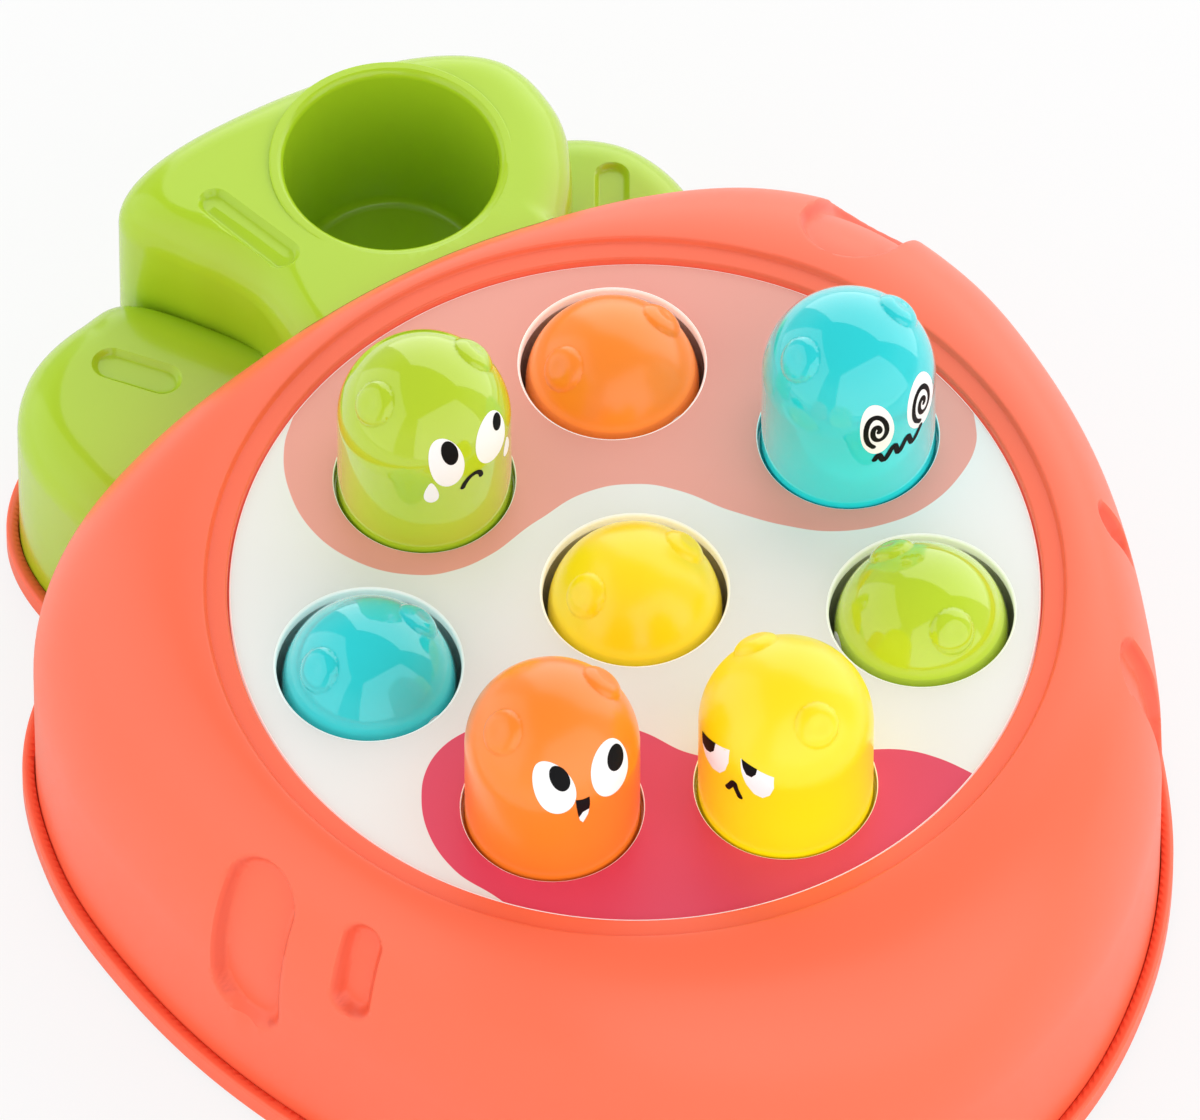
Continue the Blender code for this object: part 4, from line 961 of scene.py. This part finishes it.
def onCap(spot, low, front, across, upward, lift):
    radius = mole["radius"]
    turn = max(upward, 0) / 1000 / radius
    reach = (radius + lift) * cos(turn)
    z = low + mole["domeHeight"] + (radius + lift) * sin(turn) + min(upward, 0) / 1000
    angle = front + across / 1000 / (radius * cos(turn))
    return (spot.x + reach * cos(angle), spot.y + reach * sin(angle), z)


def strokeRows(points, width):
    # a ribbon along a smoothed line, its ends rounded
    line = []
    count, steps, ends = len(points), paint["curveSteps"], paint["endSteps"]
    for i in range(count - 1):
        a, b, c, d = (Vector(points[min(max(i + k, 0), count - 1)]) for k in (-1, 0, 1, 2))
        line += [curvePoint(a, b, c, d, s / steps) for s in range(steps)]
    line.append(Vector(points[-1]))
    half = width / 2
    first, second = (line[0] - line[1]).normalized(), (line[-1] - line[-2]).normalized()
    rows = []
    for i in range(ends):
        turn = pi / 2 * (1 - i / ends)
        rows.append((line[0] + first * half * sin(turn), half * cos(turn), (line[1] - line[0]).normalized()))
    for i, point in enumerate(line):
        along = (line[min(i + 1, len(line) - 1)] - line[max(i - 1, 0)]).normalized()
        rows.append((point, half, along))
    for turn in arc(ends)[1:]:
        rows.append((line[-1] + second * half * sin(turn), half * cos(turn), second))
    return rows


def spiralLine(x, y, wide):
    points = []
    for k in range(spiral["steps"] + 1):
        share = k / spiral["steps"]
        angle = radians(spiral["start"] - spiral["turn"] * share)
        reach = spiral["reach"] * (1 - share) ** spiral["power"] + spiral["heart"]
        points.append((x + reach * wide * cos(angle), y + reach * spiral["tall"] * sin(angle)))
    return points


def facePart(kind, values, spot, low, front, lift):
    if kind in ("stroke", "spiral"):
        width, points = values if kind == "stroke" else (spiral["line"], spiralLine(*values))
        rows = strokeRows(points, width)

        def place(column, row):
            centre, half, along = rows[column]
            side = Vector((-along.y, along.x)) * half * (row - 1)
            return onCap(spot, low, front, centre.x + side.x, centre.y + side.y, lift)
        return wrappedGrid("stroke", len(rows) - 1, 2, place)
    turns = [2 * pi * k / paint["ovalSteps"] for k in range(paint["ovalSteps"])]
    if kind == "oval":
        x, y, wide, tall = values
        outline = [(x + wide * cos(turn), y + tall * sin(turn)) for turn in turns]
    elif kind == "drop":
        x, y, wide, tall = values
        outline = [(x - wide * sin(turn) * (1 - paint["dropPinch"] * cos(turn)), y + tall * cos(turn))
                   for turn in turns]
    else:
        outline, points, steps = [], values[0], paint["patchRows"]
        for i, (a, b) in enumerate(points):
            nextA, nextB = points[(i + 1) % len(points)]
            outline += [(a + (nextA - a) * s / steps, b + (nextB - b) * s / steps) for s in range(steps)]
    count, rings = len(outline), paint["patchRows"]
    centre = Vector((sum(a for a, b in outline) / count, sum(b for a, b in outline) / count))

    def place(column, row):
        a, b = outline[column % count]
        across, upward = centre.x + (a - centre.x) * row / rings, centre.y + (b - centre.y) * row / rings
        return onCap(spot, low, front, across, upward, lift)
    return wrappedGrid("patch", count, rings, place)


def makeFace(name):
    spot, low = moleBox(name)
    front = radians(mole["facing"].get(name, 0) - 90)
    design = faces[name]
    parts = []
    for layer, lift in faceLift.items():
        for kind, *values in design.get(layer, ()):
            part = facePart(kind, values, spot, low, front, lift)
            outward = sum(face.normal.dot(face.center - Vector((spot.x, spot.y, face.center.z)))
                          for face in part.data.polygons)
            if outward < 0:
                openMesh(part)
                bpy.ops.mesh.flip_normals()
                bpy.ops.object.mode_set(mode="OBJECT")
            dress(part, "eyeBlack" if layer == "blacks" else "eyeWhite")
            parts.append(part)
    face = joinAll(parts)
    face.name = "face_" + name
    skin = face.modifiers.new("paint", "SOLIDIFY")
    skin.thickness = paint["thickness"]
    skin.offset = -1
    pickOnly(face)
    bpy.ops.object.modifier_apply(modifier=skin.name)
    smoothEdges(face, paint["smoothAngle"], False)
    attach(face, "mole_" + name)
    return face


for name in moleNames:
    makeFace(name)
print("faces painted")

# CAD nodes that stay, with their finishes

for name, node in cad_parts.items():
    if name == "base_tray":
        dress(node, "coral")
    elif name.startswith(("stem_", "rocker_")):
        dress(node, "innerWhite")
    elif name.startswith(("screw_", "pin_")):
        dress(node, "steel")
    elif name.startswith("rubber_"):
        dress(node, "rubber")

# studio

studio = {
    "azimuth": -31.5, "elevation": 54, "distance": 7, "scale": 4880, "imageWidth": 1200,
    "panelSpot": (635, 590), "imageMiddle": (600, 560),
    "wallAngles": (66, -56.5, 184), "wallDistance": 0.62, "wallWidth": 1.35, "wallHeight": 1.15,
    "wallBase": 0.02, "wallWatts": (6.1, 4.7, 3.4),
    "horizon": 0.92, "ceiling": 0.43, "skyRange": (0.3, 0.8), "mirroredLoss": 0.55,
    "floorShare": 0.82, "floorSize": 40, "floorDrop": 0.00005, "floorShades": (0.8, 0.82), "floorGrain": 40,
    "floorRoughness": 0.9,
    "sensor": 36, "clip": (0.05, 60),
}


def cameraAxes():
    turn, tilt = radians(studio["azimuth"]), radians(studio["elevation"])
    ahead = Vector((-sin(turn), cos(turn), 0))
    right = Vector((cos(turn), sin(turn), 0))
    forward = ahead * cos(tilt) - Vector((0, 0, 1)) * sin(tilt)
    return right, right.cross(forward), forward, ahead


def addCamera():
    right, upward, forward, ahead = cameraAxes()
    lift = (studio["panelSpot"][1] - studio["imageMiddle"][1]) / studio["scale"]
    shift = (studio["panelSpot"][0] - studio["imageMiddle"][0]) / studio["scale"]
    target = Vector((middle.x, middle.y, panelTop)) - right * shift + upward * lift
    bpy.ops.object.camera_add(location=target - forward * studio["distance"])
    camera = bpy.context.object
    camera.rotation_euler = Matrix((right, upward, -forward)).transposed().to_euler()
    camera.data.sensor_width = studio["sensor"]
    camera.data.lens = studio["sensor"] * studio["distance"] / (studio["imageWidth"] / studio["scale"])
    camera.data.clip_start, camera.data.clip_end = studio["clip"]
    bpy.context.scene.camera = camera


def addWalls():
    right, upward, forward, ahead = cameraAxes()
    for number, (angle, watts) in enumerate(zip(studio["wallAngles"], studio["wallWatts"]), 1):
        out = right * cos(radians(angle)) + ahead * sin(radians(angle))
        height = studio["wallBase"] + studio["wallHeight"] / 2
        spot = out * studio["wallDistance"] + Vector((0, 0, height))
        bpy.ops.object.light_add(type="AREA", location=spot)
        lamp = bpy.context.object
        lamp.name = f"softWall{number}"
        lamp.data.shape = "RECTANGLE"
        lamp.data.size = studio["wallWidth"]
        lamp.data.size_y = studio["wallHeight"]
        lamp.data.energy = watts
        lamp.visible_camera = False
        above = Vector((0, 0, 1))
        lamp.rotation_euler = Matrix((above.cross(out), above, out)).transposed().to_euler()


def addWorld():
    world = bpy.data.worlds.new("studioWorld")
    bpy.context.scene.world = world
    world.use_nodes = True
    tree = world.node_tree
    link, background = tree.links.new, tree.nodes["Background"]
    place = tree.nodes.new("ShaderNodeTexCoord")
    split = tree.nodes.new("ShaderNodeSeparateXYZ")
    link(place.outputs["Generated"], split.inputs[0])
    sky = softRamp(tree, split.outputs["Z"], studio["skyRange"], (studio["horizon"], studio["ceiling"]))
    path = tree.nodes.new("ShaderNodeLightPath")
    mirrored = mathNode(tree, "MULTIPLY", path.outputs["Is Glossy Ray"], studio["mirroredLoss"])
    strength = addNode(tree, "ShaderNodeMix", data_type="FLOAT")
    link(path.outputs["Is Camera Ray"], strength.inputs[0])
    link(mathNode(tree, "MULTIPLY", sky, mathNode(tree, "SUBTRACT", 1.0, mirrored)), strength.inputs[2])
    strength.inputs[3].default_value = 1.0
    link(strength.outputs[0], background.inputs["Strength"])
    background.inputs["Color"].default_value = (1, 1, 1, 1)


def addFloor():
    bpy.ops.mesh.primitive_plane_add(size=studio["floorSize"], location=(0, 0, -studio["floorDrop"]))
    floor = bpy.context.object
    floor.name = "studioFloor"
    material = bpy.data.materials.new("paleFloor")
    material.use_nodes = True
    tree = material.node_tree
    link, shader = tree.links.new, tree.nodes["Principled BSDF"]
    noise = addNode(tree, "ShaderNodeTexNoise", in_Scale=studio["floorGrain"], in_Detail=3)
    place = tree.nodes.new("ShaderNodeTexCoord")
    link(place.outputs["Object"], noise.inputs["Vector"])
    shades = [(shade, shade, shade, 1) for shade in studio["floorShades"]]
    link(mixColour(tree, noise.outputs["Fac"], *shades), shader.inputs["Base Color"])
    shader.inputs["Roughness"].default_value = studio["floorRoughness"]
    shader.inputs["Specular IOR Level"].default_value = 0.0
    path = tree.nodes.new("ShaderNodeLightPath")
    bright = addNode(tree, "ShaderNodeEmission", in_Strength=1.0)
    blend = tree.nodes.new("ShaderNodeMixShader")
    link(mathNode(tree, "MULTIPLY", path.outputs["Is Camera Ray"], studio["floorShare"]), blend.inputs[0])
    link(shader.outputs[0], blend.inputs[1])
    link(bright.outputs[0], blend.inputs[2])
    link(blend.outputs[0], tree.nodes["Material Output"].inputs["Surface"])
    floor.data.materials.append(material)


addCamera()
addWalls()
addWorld()
addFloor()
bpy.context.scene.view_settings.view_transform = "Standard"
print("studio set")
